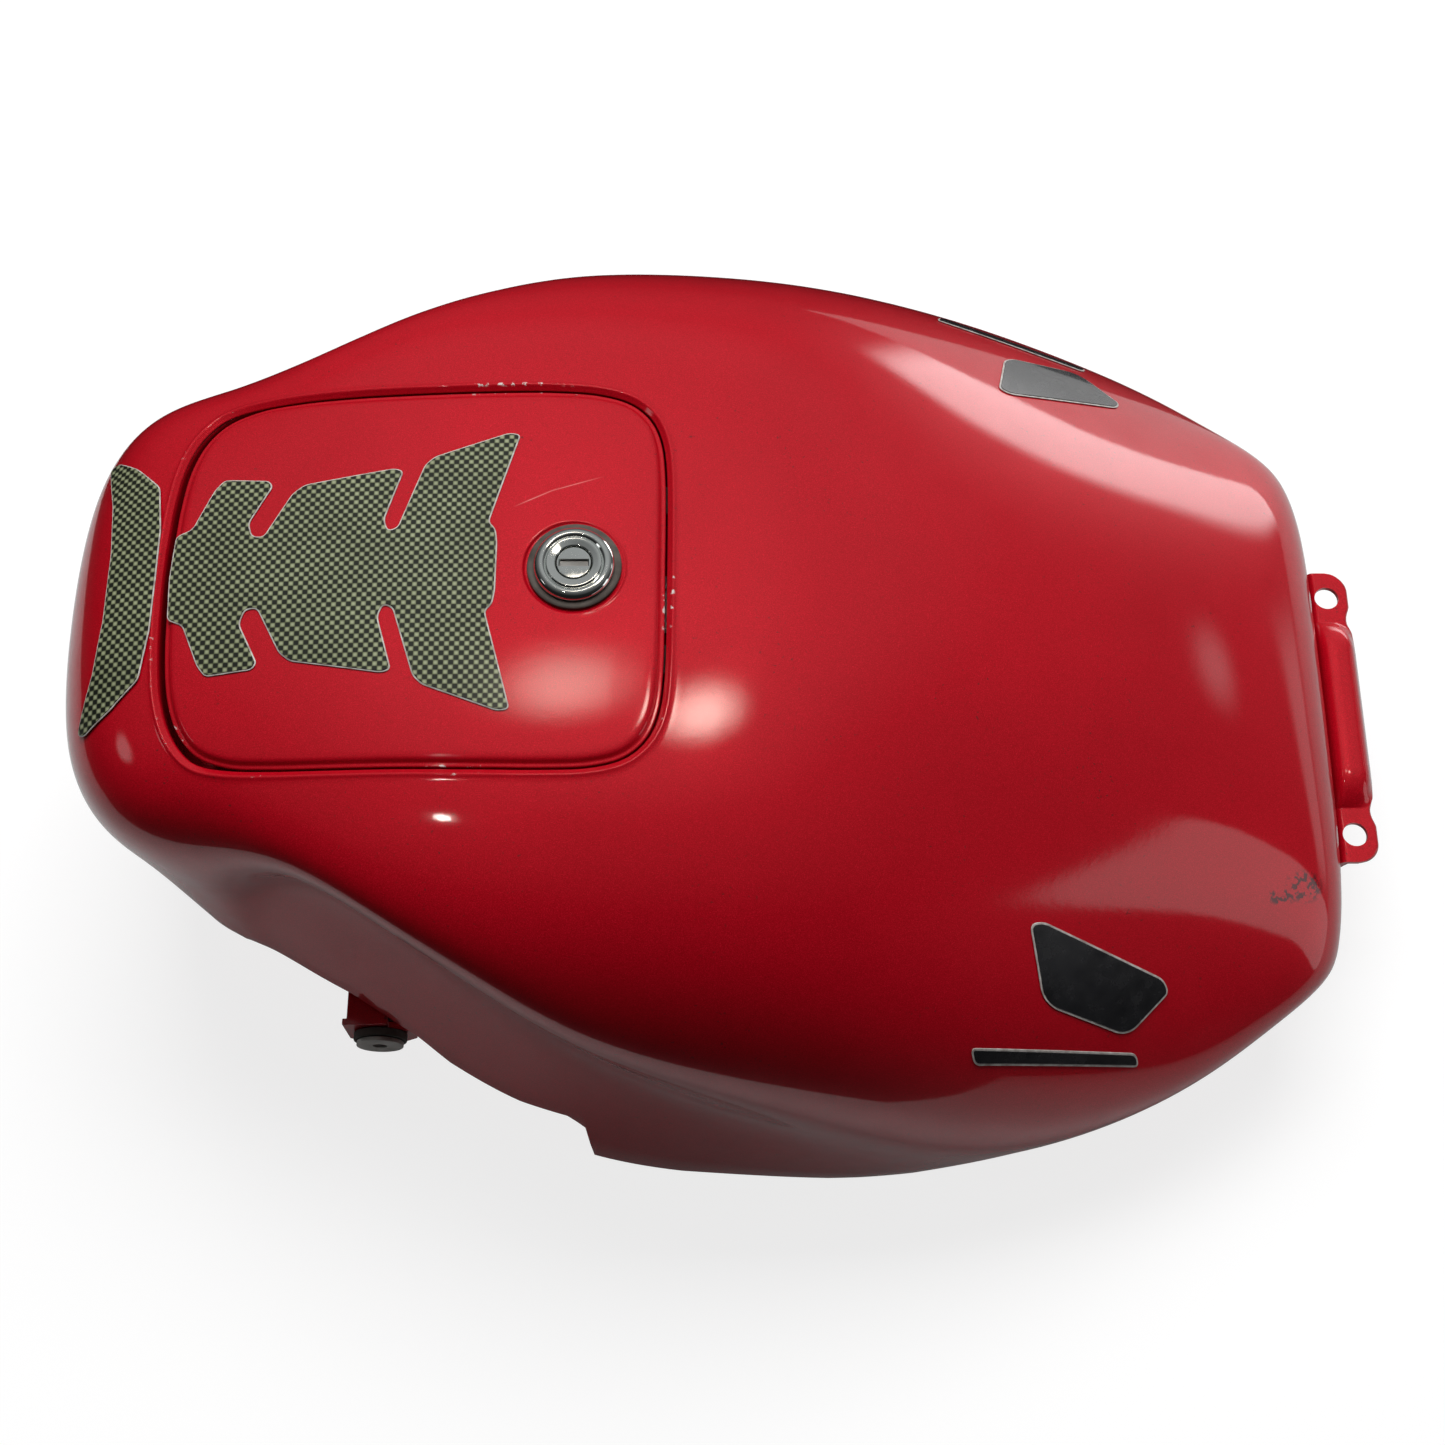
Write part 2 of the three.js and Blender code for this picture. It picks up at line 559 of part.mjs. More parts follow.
add('lock_cam', cam, steel);
const camNut = hexagon(LOCK.x, LOCK.y, 11, 200, 203.35)
  .subtract(discZ(LOCK.x, LOCK.y, 3.35, 195, 210, 24));
add('cam_nut', camNut, steel);
const strikerX = -20 + FLAP_GAP / 2 + 0.2 - GAP;
const striker = block(strikerX - 2, strikerX, -16, 16, 196, 211)
  .add(block(strikerX - 17, strikerX, -14, 14, 208.6, 211))
  .subtract(prismX([[-11, 199], [-7, 199], [-7, 203], [-11, 203]], -40, 0))
  .subtract(prismX([[7, 199], [11, 199], [11, 203], [7, 203]], -40, 0));
add('striker_plate', striker, steel);
for (const [side, y] of [['left', 38], ['right', -38]]) {
  const top = topHeight(-27, y) - SHEET - GAP - 1.2 - 5;
  add(`flap_buffer_${side}`, block(strikerX - 9, strikerX - 0.9, y - 7, y + 7, top - 12, top), rubber);
}

// ---------------------------------------------------------------- base pan
const EDGE_STEP = 0.0085;
const PAN_LIFT = -SHEET - 1.6;
const SEAM_SHOWS_BEHIND = -75;      // behind this the pan's flange shows below the skin

function hemLoop(inner) {
  const bite = inner ? EDGE_STEP : 0;
  const lift = inner ? PAN_LIFT - 0.3 : PAN_LIFT;
  return (r, s) => {
    const u = clamp(r, bite, 1 - bite);
    const end = hemParameter(r) - bite;
    const p = skinLift(u, s * end, lift);
    const drop = p[0] < SEAM_SHOWS_BEHIND ? 3 : -1;
    return [p[0], p[1], inner ? p[2] : p[2] - drop];
  };
}

const innerLoop = hemLoop(true);
const outerLoop = hemLoop(false);

function panField(x, y) {
  const wall = smooth((TUNNEL_HALF[1] - Math.abs(y)) / (TUNNEL_HALF[1] - TUNNEL_HALF[0]));
  return lerp(profileHeight(PAN_FLOOR, x), profileHeight(TUNNEL_ROOF, x), wall);
}

function panPlan(r, s) {
  const rear = innerLoop(0, s);
  const front = innerLoop(1, s);
  const right = innerLoop(r, -1);
  const left = innerLoop(r, 1);
  const t = (s + 1) / 2;
  const corner = [innerLoop(0, -1), innerLoop(0, 1), innerLoop(1, -1), innerLoop(1, 1)];
  return [0, 1].map((k) => lerp(rear[k], front[k], r) + lerp(right[k], left[k], t)
    - lerp(lerp(corner[0][k], corner[1][k], t), lerp(corner[2][k], corner[3][k], t), r));
}

const panRows = [0, 0, ...steps(20, 0.03, 0.97), 0.985, ...stepRows, 1, 1]
  .sort((a, b) => a - b);
const panColumns = [-1, -1, ...steps(18, -0.96, 0.96), 1, 1];
const PAN_PULL = 0.9;              // keeps the floor clear of the leaning side walls
const panUpper = panRows.map((r, i) => panColumns.map((s, j) => {
  const ring = Math.min(i, j, panRows.length - 1 - i, panColumns.length - 1 - j);
  if (ring === 0) return outerLoop(r, s);
  if (ring === 1) return innerLoop(r, s);
  const [x, y] = panPlan(r, s * PAN_PULL);
  return [x, y, panField(x, y) + SHEET];
}));
const panLower = panUpper.map((row, i) => row.map((p, j) => {
  const at = (a, b) => {
    const q = panUpper[clamp(a, 0, panUpper.length - 1)][clamp(b, 0, row.length - 1)];
    return new THREE.Vector3(...q);
  };
  const du = at(i + 1, j).sub(at(i - 1, j));
  const dv = at(i, j + 1).sub(at(i, j - 1));
  const n = du.cross(dv).normalize();
  return [p[0] - n.x * SHEET, p[1] - n.y * SHEET, p[2] - n.z * SHEET];
}));
const panHoles = [
  discZ(TAP.x, TAP.y, 6.4, 20, 140, 24),
  discZ(SENDER.x, SENDER.y, 21, 20, 140, 32),
  discZ(RETURN.x, RETURN.y, 4.5, 20, 140, 20),
  discZ(DRAIN.x, DRAIN.y, 4.5, 80, 160, 20),
  discZ(BREATHER.x, BREATHER.y, 4.5, 80, 160, 20),
];
let pan = sheetSolid(panUpper, panLower);
for (const hole of panHoles) pan = pan.subtract(hole);
add('base_pan', pan, paint);

// ---------------------------------------------------------------- pipes and baffle
add('drain_tube', ringZ(DRAIN.x, DRAIN.y, 4, 2.8, 88, WELL_FLOOR + SHEET + 1, 20), steel);
add('breather_tube', ringZ(BREATHER.x, BREATHER.y, 4, 2.8, 96, topHeight(20, 40) - 7, 20), steel);
const baffleRow = rowOfX(BAFFLE_X, 0.2);
const roof = steps(16, -0.62, 0.62).map((v) => {
  const [, y, z] = skinLift(baffleRow, v, -8);
  return [y, z];
});
const floorLine = [120, 95, 84, 66, 50, 25, 0, -25, -50, -66, -84, -95, -120].map((y) => [
  y,
  panField(BAFFLE_X, y) + SHEET + (Math.abs(y) > 60 && Math.abs(y) < 110 ? 14 : 5),
]);
let baffle = prismX([...roof, ...floorLine], BAFFLE_X - 0.8, BAFFLE_X + 0.8);
for (const y of [-80, 0, 80]) {
  baffle = baffle.subtract(prismX(
    steps(20).slice(0, 20).map((t) => [
      y + 11 * Math.cos(t * 2 * Math.PI),
      142 + 11 * Math.sin(t * 2 * Math.PI) - Math.abs(y) * 0.12,
    ]),
    BAFFLE_X - 5,
    BAFFLE_X + 5,
  ));
}
add('baffle', baffle, steel);

// ---------------------------------------------------------------- fuel tap
const tapFace = profileHeight(PAN_FLOOR, TAP.x);
const tapBores = (z0, z1) => [-16, 16].map((dx) => discZ(TAP.x + dx, TAP.y, 2.4, z0, z1, 16));
let tapGasket = roundedBlock(TAP.x, TAP.y, 46, 24, 8, tapFace - 2, tapFace - GAP)
  .subtract(discZ(TAP.x, TAP.y, 6.4, 20, 140, 24));
let tapBody = roundedBlock(TAP.x, TAP.y, 46, 24, 8, tapFace - 7, tapFace - 2 - GAP)
  .add(discZ(TAP.x, TAP.y, 10.5, tapFace - 28, tapFace - 6))
  .add(discZ(TAP.x, TAP.y, 5.5, tapFace - 6, tapFace + 9, 24))
  .add(discY(TAP.x, tapFace - 18, 8.5, TAP.y, TAP.y + 15))
  .add(extrude(
    steps(18).slice(0, 18).map((t) => [
      TAP.y + 4 * Math.cos(t * 2 * Math.PI),
      tapFace - 22 + 4 * Math.sin(t * 2 * Math.PI),
    ]),
    28,
    (a, b, c) => [TAP.x - 32 + c, a, b],
  ));
for (const bore of tapBores(tapFace - 20, tapFace + 10)) {
  tapGasket = tapGasket.subtract(bore);
  tapBody = tapBody.subtract(bore);
}
add('tap_gasket', tapGasket, rubber);
add('tap_body', tapBody, alloy);
const strainer = ringZ(TAP.x, TAP.y, 5, 3.6, tapFace + 9 + GAP, tapFace + 52, 20)
  .add(discZ(TAP.x, TAP.y, 5, tapFace + 50, tapFace + 52, 20));
add('tap_strainer', strainer, blackPlastic);
for (const [side, dx] of [['rear', -16], ['front', 16]]) {
  const head = discZ(TAP.x + dx, TAP.y, 4, tapFace - 10.5, tapFace - 7 - GAP, 18);
  const shank = discZ(TAP.x + dx, TAP.y, 2, tapFace - 8, tapFace - GAP, 18);
  add(`tap_screw_${side}`, head.add(shank), steel);
}
const leverZ = tapFace - 18;
const leverY = TAP.y + 15 + GAP;
const lever = discY(TAP.x, leverZ, 8, leverY, leverY + 4)
  .add(prismY([
    [TAP.x - 5, leverZ], [TAP.x - 3.5, leverZ - 27], [TAP.x + 3.5, leverZ - 27],
    [TAP.x + 5, leverZ],
  ], leverY + 0.6, leverY + 4));
add('tap_lever', lever, blackPlastic);

// ---------------------------------------------------------------- level sender
const senderFace = profileHeight(PAN_FLOOR, SENDER.x);
const senderAngles = [45, 135, 225, 315].map((a) => THREE.MathUtils.degToRad(a));
const senderSpots = senderAngles.map((a) => [
  SENDER.x + 24.5 * Math.cos(a),
  SENDER.y + 24.5 * Math.sin(a),
]);
let senderGasket = ringZ(SENDER.x, SENDER.y, 29, 20.5, senderFace - 1.9, senderFace - GAP, 40);
let senderPlate = discZ(SENDER.x, SENDER.y, 29, senderFace - 4.5, senderFace - 1.9 - GAP, 40)
  .add(discZ(SENDER.x, SENDER.y, 8, senderFace - 14, senderFace - 4, 24))
  .add(block(SENDER.x - 5, SENDER.x + 5, SENDER.y + 3, SENDER.y + 6, senderFace - 3, senderFace + 24))
  .subtract(discY(SENDER.x, senderFace + 18, 2.4, SENDER.y - 10, SENDER.y + 20, 18));
for (const [x, y] of senderSpots) {
  senderGasket = senderGasket.subtract(discZ(x, y, 2.4, 20, 60, 16));
  senderPlate = senderPlate.subtract(discZ(x, y, 2.4, 20, 60, 16));
}
add('sender_gasket', senderGasket, rubber);
add('sender_plate', senderPlate, steel);
senderSpots.forEach(([x, y], i) => {
  const head = hexagon(x, y, 7.2, senderFace - 8, senderFace - 4.5 - GAP);
  const shank = discZ(x, y, 2, senderFace - 5, senderFace - GAP, 16);
  add(`sender_screw_${i + 1}`, head.add(shank), steel);
});
const armZ = senderFace + 18;
const floatArm = discY(SENDER.x, armZ, 2, SENDER.y - 6, SENDER.y + 9, 18)
  .add(prismY([
    [SENDER.x - 4, armZ - 3], [SENDER.x + 4, armZ - 3], [SENDER.x + 72, armZ + 4],
    [SENDER.x + 72, armZ + 8], [SENDER.x + 4, armZ + 3.5], [SENDER.x - 4, armZ + 3],
  ], SENDER.y - 1, SENDER.y + 1.8));
add('float_arm', floatArm, steel);
const floatBody = discY(SENDER.x + 80, armZ + 6, 14, SENDER.y - 16, SENDER.y + 16)
  .subtract(block(SENDER.x + 60, SENDER.x + 73, SENDER.y - 2, SENDER.y + 3, armZ - 20, armZ + 30));
add('float', floatBody, blackPlastic);

// ---------------------------------------------------------------- return nipple
const returnFace = profileHeight(PAN_FLOOR, RETURN.x);
const nipple = ringZ(RETURN.x, RETURN.y, 4, 2.6, returnFace - 18, returnFace + 12, 20)
  .add(ringZ(RETURN.x, RETURN.y, 9, 2.6, returnFace - 3, returnFace - GAP, 20));
add('return_nipple', nipple, steel);

// ---------------------------------------------------------------- front bracket
const EAR_Y = 63;
const earProfile = [[278, 79.8], [298.5, 79.8], [301.5, 87], [320, 87], [320, 89.6], [300.3, 89.6],
  [297.3, 82.4], [278, 82.4]];
const webProfile = [[278, 79.8], [298.5, 79.8], [301, 88], [304, 92.5], [308.5, 94.6], [313, 92.8],
  [315.6, 88], [316.4, 82], [318.9, 82], [318.2, 89], [315, 95], [309, 97.4], [302.6, 95.4],
  [299, 89.6], [297, 82.4], [278, 82.4]];
const bracketHalf = [[276, 40], [276, 74], [299, 77], [312, 77], [318, 72], [318.5, 54], [317, 48],
  [319.5, 44], [319.5, 0]];
const bracketPlan = [
  ...bracketHalf,
  ...bracketHalf.slice(0, -1).reverse().map(([x, y]) => [x, -y]),
].reverse();
const bracket = prismY(webProfile, -46, 46)
  .add(prismY(earProfile, 44, 80))
  .add(prismY(earProfile, -80, -44))
  .intersect(prismZ(bracketPlan, 70, 110))
  .subtract(discZ(307, EAR_Y, 5.9, 70, 110, 28))
  .subtract(discZ(307, -EAR_Y, 5.9, 70, 110, 28));
add('front_bracket', bracket, paint);

// ---------------------------------------------------------------- side lugs
for (const [side, sign] of [['left', 1], ['right', -1]]) {
  const inY = (a, b) => (sign > 0 ? [a, b] : [-b, -a]);
  const plateOutline = [[LUG.x - 16, 86], [LUG.x - 16, 61], [LUG.x - 9, 54], [LUG.x + 9, 54],
    [LUG.x + 16, 61], [LUG.x + 16, 73], [LUG.x + 5, 81], [LUG.x + 5, 86]];
  const [p0, p1] = inY(LUG.y, LUG.y + 3);
  const [w0, w1] = inY(LUG.y - 28, LUG.y + 3);
  const [f0, f1] = inY(LUG.y - 30, LUG.y - 27.4);
  const footTop = profileHeight(PAN_FLOOR, LUG.x + 15) - 0.8;
  const web = block(LUG.x - 14, LUG.x + 5, w0, w1, 83.6, 86)
    .add(block(LUG.x - 14, LUG.x + 5, f0, f1, 83.6, footTop));
  const plate = prismY(plateOutline, p0, p1).add(web)
    .subtract(discY(LUG.x, LUG.z, 8.4, ...inY(LUG.y - 8, LUG.y + 8)));
  add(`side_lug_${side}`, plate, paint);

  const sleeve = discY(LUG.x, LUG.z, 8, ...inY(LUG.y - 4, LUG.y + 7));
  const inFlange = discY(LUG.x, LUG.z, 11.5, ...inY(LUG.y - 4, LUG.y - GAP), 32);
  const outFlange = discY(LUG.x, LUG.z, 12.5, ...inY(LUG.y + 3 + GAP, LUG.y + 7), 32);
  const bore = discY(LUG.x, LUG.z, 5.2, ...inY(LUG.y - 20, LUG.y + 20));
  add(`side_grommet_${side}`, sleeve.add(inFlange).add(outFlange).subtract(bore), rubber);

  const tube = discY(LUG.x, LUG.z, 4.8, ...inY(LUG.y - 4, LUG.y + 9.4));
  const head = discY(LUG.x, LUG.z, 11, ...inY(LUG.y + 7 + GAP, LUG.y + 9.4), 32);
  const hole = discY(LUG.x, LUG.z, 3.3, ...inY(LUG.y - 20, LUG.y + 20));
  add(`side_collar_${side}`, tube.add(head).subtract(hole), alloy);
}

// ---------------------------------------------------------------- pads and emblems
const padRows = steps(10, locate(-240, 0)[0], locate(-78, 0)[0]);
const padColumns = steps(8, -0.42, 0.42);
add('pad_main', decal(mirrored(PAD_MAIN_HALF), GAP, 0.6, padRows, padColumns), carbon);
const rearRows = steps(6, locate(-281, 0)[0], locate(-236, 0)[0]);
add('pad_rear', decal(mirrored(PAD_REAR_HALF), 0.9, 0.6, rearRows, padColumns), carbon);
for (const [side, sign] of [['left', 1], ['right', -1]]) {
  const [uA] = locate(100, sign * 150);
  const [uB] = locate(215, sign * 150);
  const columns = sign > 0 ? steps(10, 0.34, 0.74) : steps(10, -0.74, -0.34);
  const place = (outline) => {
    const points = outline.map(([x, y]) => [x, sign * y]);
    return sign > 0 ? points : points.reverse();
  };
  const rows = steps(10, uA - 0.03, uB + 0.03);
  add(`emblem_${side}`, decal(place(EMBLEM), GAP, 0.6, rows, columns), blackPlastic);
  add(`emblem_bar_${side}`, decal(place(EMBLEM_BAR), GAP, 0.6, rows, columns), blackPlastic);
}

export default group;
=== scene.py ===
"""Looks of the motorcycle fuel tank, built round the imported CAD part.

Shapes are written in body millimetres (X front, Y left, Z up) and moved to the frame by to_frame().
"""

import json
import math

import bmesh
import bpy
import numpy as np
from mathutils import Matrix, Vector, geometry

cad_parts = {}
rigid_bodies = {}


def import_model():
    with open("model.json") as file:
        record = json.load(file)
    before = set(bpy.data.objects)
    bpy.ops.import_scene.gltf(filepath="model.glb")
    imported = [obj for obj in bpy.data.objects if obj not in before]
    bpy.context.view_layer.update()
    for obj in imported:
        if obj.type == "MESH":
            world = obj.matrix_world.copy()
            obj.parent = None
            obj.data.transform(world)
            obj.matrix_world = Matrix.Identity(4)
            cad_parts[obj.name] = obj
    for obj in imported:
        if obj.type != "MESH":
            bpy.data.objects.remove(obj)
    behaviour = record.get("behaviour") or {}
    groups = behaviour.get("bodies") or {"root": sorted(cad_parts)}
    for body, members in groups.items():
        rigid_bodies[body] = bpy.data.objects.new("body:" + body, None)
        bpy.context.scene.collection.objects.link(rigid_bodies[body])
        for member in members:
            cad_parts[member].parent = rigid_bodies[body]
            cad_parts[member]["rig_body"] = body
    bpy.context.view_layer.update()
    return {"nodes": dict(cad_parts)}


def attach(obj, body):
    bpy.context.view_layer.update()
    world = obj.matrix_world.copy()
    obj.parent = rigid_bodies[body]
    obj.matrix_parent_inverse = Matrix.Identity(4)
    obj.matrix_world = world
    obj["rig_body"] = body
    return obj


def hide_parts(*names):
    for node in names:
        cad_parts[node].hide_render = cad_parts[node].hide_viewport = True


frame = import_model()
NODES = frame["nodes"]

# ------------------------------------------------------------------ dimensions
MM = 0.001
ORIGIN = np.array([13.85, 0.0, 15.66])
SHEET = 1.5                     # thickness of the pressed sheet
WELL_FLOOR = 184.5              # underside of the floor of the filler well
LOCK = (-59.0, 0.0)
FILLER = (-125.0, 0.0)
DRAIN = (-190.0, 66.0)
LUG = (-157.0, 152.5, 71.0)     # on the bore of the left side lug, at the inner face of its plate
EAR_HOLE = (307.0, 63.0, 5.9)   # x, y and radius of the bolt hole in the left ear
SPOKES = 288                    # points round the flap opening
CLOSER = 1.15                   # how far each side of the gap leans in, away from the hinge
CREASE = 38                     # degrees beyond which an edge is shaded sharp
WEAVE = 2.12                    # side of one square of the printed weave

# Control net of the pressed skin, from the rear hem to the front hem; each row runs from the
# centre line down the left side.
NET = np.array([
    # rear hem
    [[-288, 0, 100], [-288, 22, 100], [-286, 42, 100], [-282, 55, 100], [-276, 66, 101],
     [-269, 75, 102], [-263, 81, 102], [-257, 87, 102], [-251, 91, 102], [-244, 97, 102]],
    # rear face, low
    [[-293, 0, 126], [-293, 26, 126], [-290, 48, 126], [-283, 65, 126], [-274, 76, 125],
     [-265, 84, 123], [-257, 91, 120], [-250, 97, 116], [-243, 102, 110], [-236, 107, 103]],
    # rear face, high
    [[-293, 0, 190], [-292, 32, 190], [-288, 62, 190], [-278, 84, 188], [-266, 97, 179],
     [-255, 101, 162], [-247, 104, 145], [-240, 107, 130], [-233, 111, 116], [-226, 115, 102]],
    # tail edge
    [[-272, 0, 228], [-271, 36, 228], [-267, 72, 224], [-257, 97, 215], [-245, 109, 199],
     [-237, 111, 178], [-232, 111, 157], [-227, 112, 138], [-221, 115, 120], [-215, 119, 100]],
    # rear end of the flap
    [[-226, 0, 238], [-226, 40, 237], [-224, 78, 232], [-221, 101, 222], [-218, 115, 204],
     [-216, 119, 180], [-214, 117, 155], [-213, 117, 130], [-212, 120, 106], [-210, 122, 80]],
    # where the knee hollow starts
    [[-185, 0, 243], [-185, 42, 242], [-183, 86, 238], [-181, 111, 232], [-179, 123, 223],
     [-180, 118, 203], [-183, 107, 181], [-186, 108, 158], [-189, 122, 128], [-192, 137, 84]],
    # middle of the flap
    [[-140, 0, 247], [-140, 46, 246], [-139, 96, 242], [-137, 130, 234], [-135, 152, 221],
     [-136, 147, 200], [-139, 130, 172], [-140, 130, 145], [-138, 150, 110], [-137, 172, 66]],
    # front half of the flap
    [[-95, 0, 248], [-95, 50, 247], [-95, 104, 243], [-94, 144, 231], [-92, 170, 212],
     [-92, 177, 192], [-94, 162, 160], [-95, 158, 128], [-94, 176, 92], [-93, 196, 48]],
    # front end of the flap
    [[-50, 0, 248], [-50, 52, 247], [-50, 110, 242], [-50, 154, 226], [-49, 180, 204],
     [-48, 199, 178], [-48, 190, 146], [-48, 183, 112], [-48, 192, 72], [-47, 208, 14]],
    # middle of the tank
    [[40, 0, 240], [40, 56, 238], [41, 114, 230], [43, 164, 209], [45, 195, 178],
     [47, 211, 143], [48, 213, 108], [50, 210, 76], [51, 211, 46], [52, 215, 12]],
    # widest part
    [[120, 0, 212], [120, 58, 209], [121, 110, 190], [123, 152, 170], [126, 188, 148],
     [129, 211, 119], [131, 219, 92], [133, 219, 68], [134, 215, 48], [134, 210, 28]],
    # brow
    [[200, 0, 176], [200, 58, 171], [201, 104, 154], [204, 138, 135], [207, 165, 117],
     [210, 184, 101], [212, 192, 90], [213, 191, 80], [213, 187, 70], [213, 182, 58]],
    # front edge
    [[268, 0, 140], [268, 54, 137], [267, 94, 128], [264, 122, 117], [260, 142, 107],
     [257, 154, 99], [258, 158, 92], [259, 157, 86], [260, 154, 80], [261, 150, 72]],
    # front face
    [[298, 0, 118], [298, 50, 116], [298, 88, 112], [296, 112, 106], [293, 126, 101],
     [291, 132, 97], [289, 135, 93], [287, 136, 89], [286, 136, 84], [285, 134, 78]],
    # front hem
    [[296, 0, 86], [296, 48, 86], [296, 84, 86], [295, 102, 86], [294, 112, 86],
     [293, 118, 86], [292, 122, 85], [292, 124, 84], [291, 126, 83], [290, 128, 82]],
], float)
FULL_NET = np.concatenate([NET[:, :0:-1] * np.array([1, -1, 1]), NET], axis=1)

# Lower edge of the skin along the tank, with the step of the side tabs.
HEM = np.array([[-300, 98], [-215, 99], [-191, 98], [-167, 96], [-137, 86], [-123, 77],
                [-91, 64], [-68, 58], [-61, 50], [-57, 16], [62, 16], [95, 22], [135, 40],
                [180, 55], [226, 68], [262, 78], [300, 80]], float)
# Left halves of the outlines of the flap, the pads and the emblem plates.
FLAP_HALF = [[-235.5, 0], [-235, 20], [-234, 38], [-231.5, 56], [-226, 71], [-217, 81.5],
             [-203, 86.5], [-185, 88.3], [-160, 89], [-130, 89.3], [-100, 89.8], [-70, 90],
             [-50, 88.8], [-36, 84.5], [-27, 76], [-22.3, 64], [-20.5, 48], [-20, 24], [-20, 0]]
PAD_MAIN_HALF = [[-233, 0], [-232, 20], [-225, 23], [-217, 42], [-213, 47], [-193, 45],
                 [-191, 42], [-200, 24], [-198, 17.5], [-193, 17], [-182, 38], [-177, 42],
                 [-138, 48.5], [-134, 47], [-141, 23], [-139, 17.5], [-135, 19], [-125, 50],
                 [-121, 54], [-89, 66], [-84, 65], [-96, 21], [-93, 18], [-92, 12], [-92, 0]]
PAD_REAR_HALF = [[-238.8, 0], [-239, 24], [-242, 46], [-254, 58], [-266, 66], [-270, 64],
                 [-264, 40], [-261.5, 16], [-261.5, 0]]
EMBLEM = [[136, 134], [142, 132], [200, 147], [203, 152], [186, 169], [180, 171],
          [147, 165], [142, 161]]
EMBLEM_BAR = [[110, 184], [188, 177], [190, 182], [112, 190]]


def to_frame(points):
    return (np.asarray(points, float) - ORIGIN) * MM


# ------------------------------------------------------------------ skin surface
def spline_basis(count, t):
    """Weights of a clamped uniform cubic B-spline with count control points."""
    spans = count - 3
    knots = np.array([0.0] * 4 + list(range(1, spans)) + [float(spans)] * 4)
    x = np.minimum(np.clip(t, 0, 1) * spans, spans - 1e-9)[:, None]
    weights = ((x >= knots[None, :-1]) & (x < knots[None, 1:])).astype(float)
    for degree in range(1, 4):
        size = weights.shape[1] - 1
        rise = knots[degree:degree + size] - knots[:size]
        fall = knots[degree + 1:degree + 1 + size] - knots[1:1 + size]
        up = np.where(rise > 0, (x - knots[:size]) / np.where(rise > 0, rise, 1), 0)
        end = knots[degree + 1:degree + 1 + size]
        down = np.where(fall > 0, (end - x) / np.where(fall > 0, fall, 1), 0)
        weights = up * weights[:, :-1] + down * weights[:, 1:]
    return weights


def skin(u, v):
    u, v = np.broadcast_arrays(np.asarray(u, float), np.asarray(v, float))
    rows = spline_basis(FULL_NET.shape[0], u.ravel())
    columns = spline_basis(FULL_NET.shape[1], (v.ravel() + 1) / 2)
    mixed = (rows @ FULL_NET.reshape(FULL_NET.shape[0], -1)).reshape(u.size, -1, 3)
    return np.einsum("nj,njk->nk", columns, mixed).reshape(u.shape + (3,))


def unit(vectors):
    return vectors / np.maximum(np.linalg.norm(vectors, axis=-1, keepdims=True), 1e-12)


def skin_slopes(u, v, h=5e-4):
    along = skin(np.minimum(u + h, 1), v) - skin(np.maximum(u - h, 0), v)
    across = skin(u, np.minimum(v + h, 1)) - skin(u, np.maximum(v - h, -1))
    return unit(np.cross(along, across)), across / (2 * h)


def lifted(u, v, lift):
    normal, _ = skin_slopes(u, v)
    return skin(u, v) + normal * np.asarray(lift, float)[..., None]


def hem_parameter(u, edge=HEM):
    """Parameter across the skin at which it meets the lower edge."""
    u = np.asarray(u, float)
    low, high = np.full(u.shape, 0.6), np.ones(u.shape)

    def below(v):
        p = skin(u, v)
        return p[..., 2] < np.interp(p[..., 0], edge[:, 0], edge[:, 1])

    whole = ~below(high)
    for _ in range(34):
        middle = (low + high) / 2
        under = below(middle)
        high = np.where(under, middle, high)
        low = np.where(under, low, middle)
    return np.where(whole, 1.0, low)


def locate(xy):
    """Surface parameters above points in plan, on the upper sheet."""
    xy = np.asarray(xy, float)
    u = np.clip((xy[..., 0] + 285) / 570, 0.1, 0.95)
    v = np.clip(xy[..., 1] / 230, -0.55, 0.55)
    h = 1e-3
    for _ in range(26):
        p = skin(u, v)
        pu = (skin(u + h, v) - p) / h
        pv = (skin(u, v + h) - p) / h
        error = xy - p[..., :2]
        det = pu[..., 0] * pv[..., 1] - pv[..., 0] * pu[..., 1]
        du = (pv[..., 1] * error[..., 0] - pv[..., 0] * error[..., 1]) / det
        dv = (pu[..., 0] * error[..., 1] - pu[..., 1] * error[..., 0]) / det
        u = np.clip(u + np.clip(du, -0.08, 0.08), 0.02, 0.99)
        v = np.clip(v + np.clip(dv, -0.08, 0.08), -0.75, 0.75)
    return u, v


def draped(xy, lift):
    u, v = locate(xy)
    return lifted(u, v, np.broadcast_to(lift, u.shape))


FLAP_TOP = float(draped(np.array([LOCK]), 0.0)[0, 2])


# ------------------------------------------------------------------ plane outlines
def mirrored(half):
    return np.array(half + [[x, -y] for x, y in half[-2:0:-1]], float)


def resampled(loop, count):
    closed = np.vstack([loop, loop[:1]])
    length = np.concatenate([[0], np.cumsum(np.linalg.norm(np.diff(closed, axis=0), axis=1))])
    at = np.linspace(0, length[-1], count, endpoint=False)
    return np.stack([np.interp(at, length, closed[:, k]) for k in range(2)], axis=1)


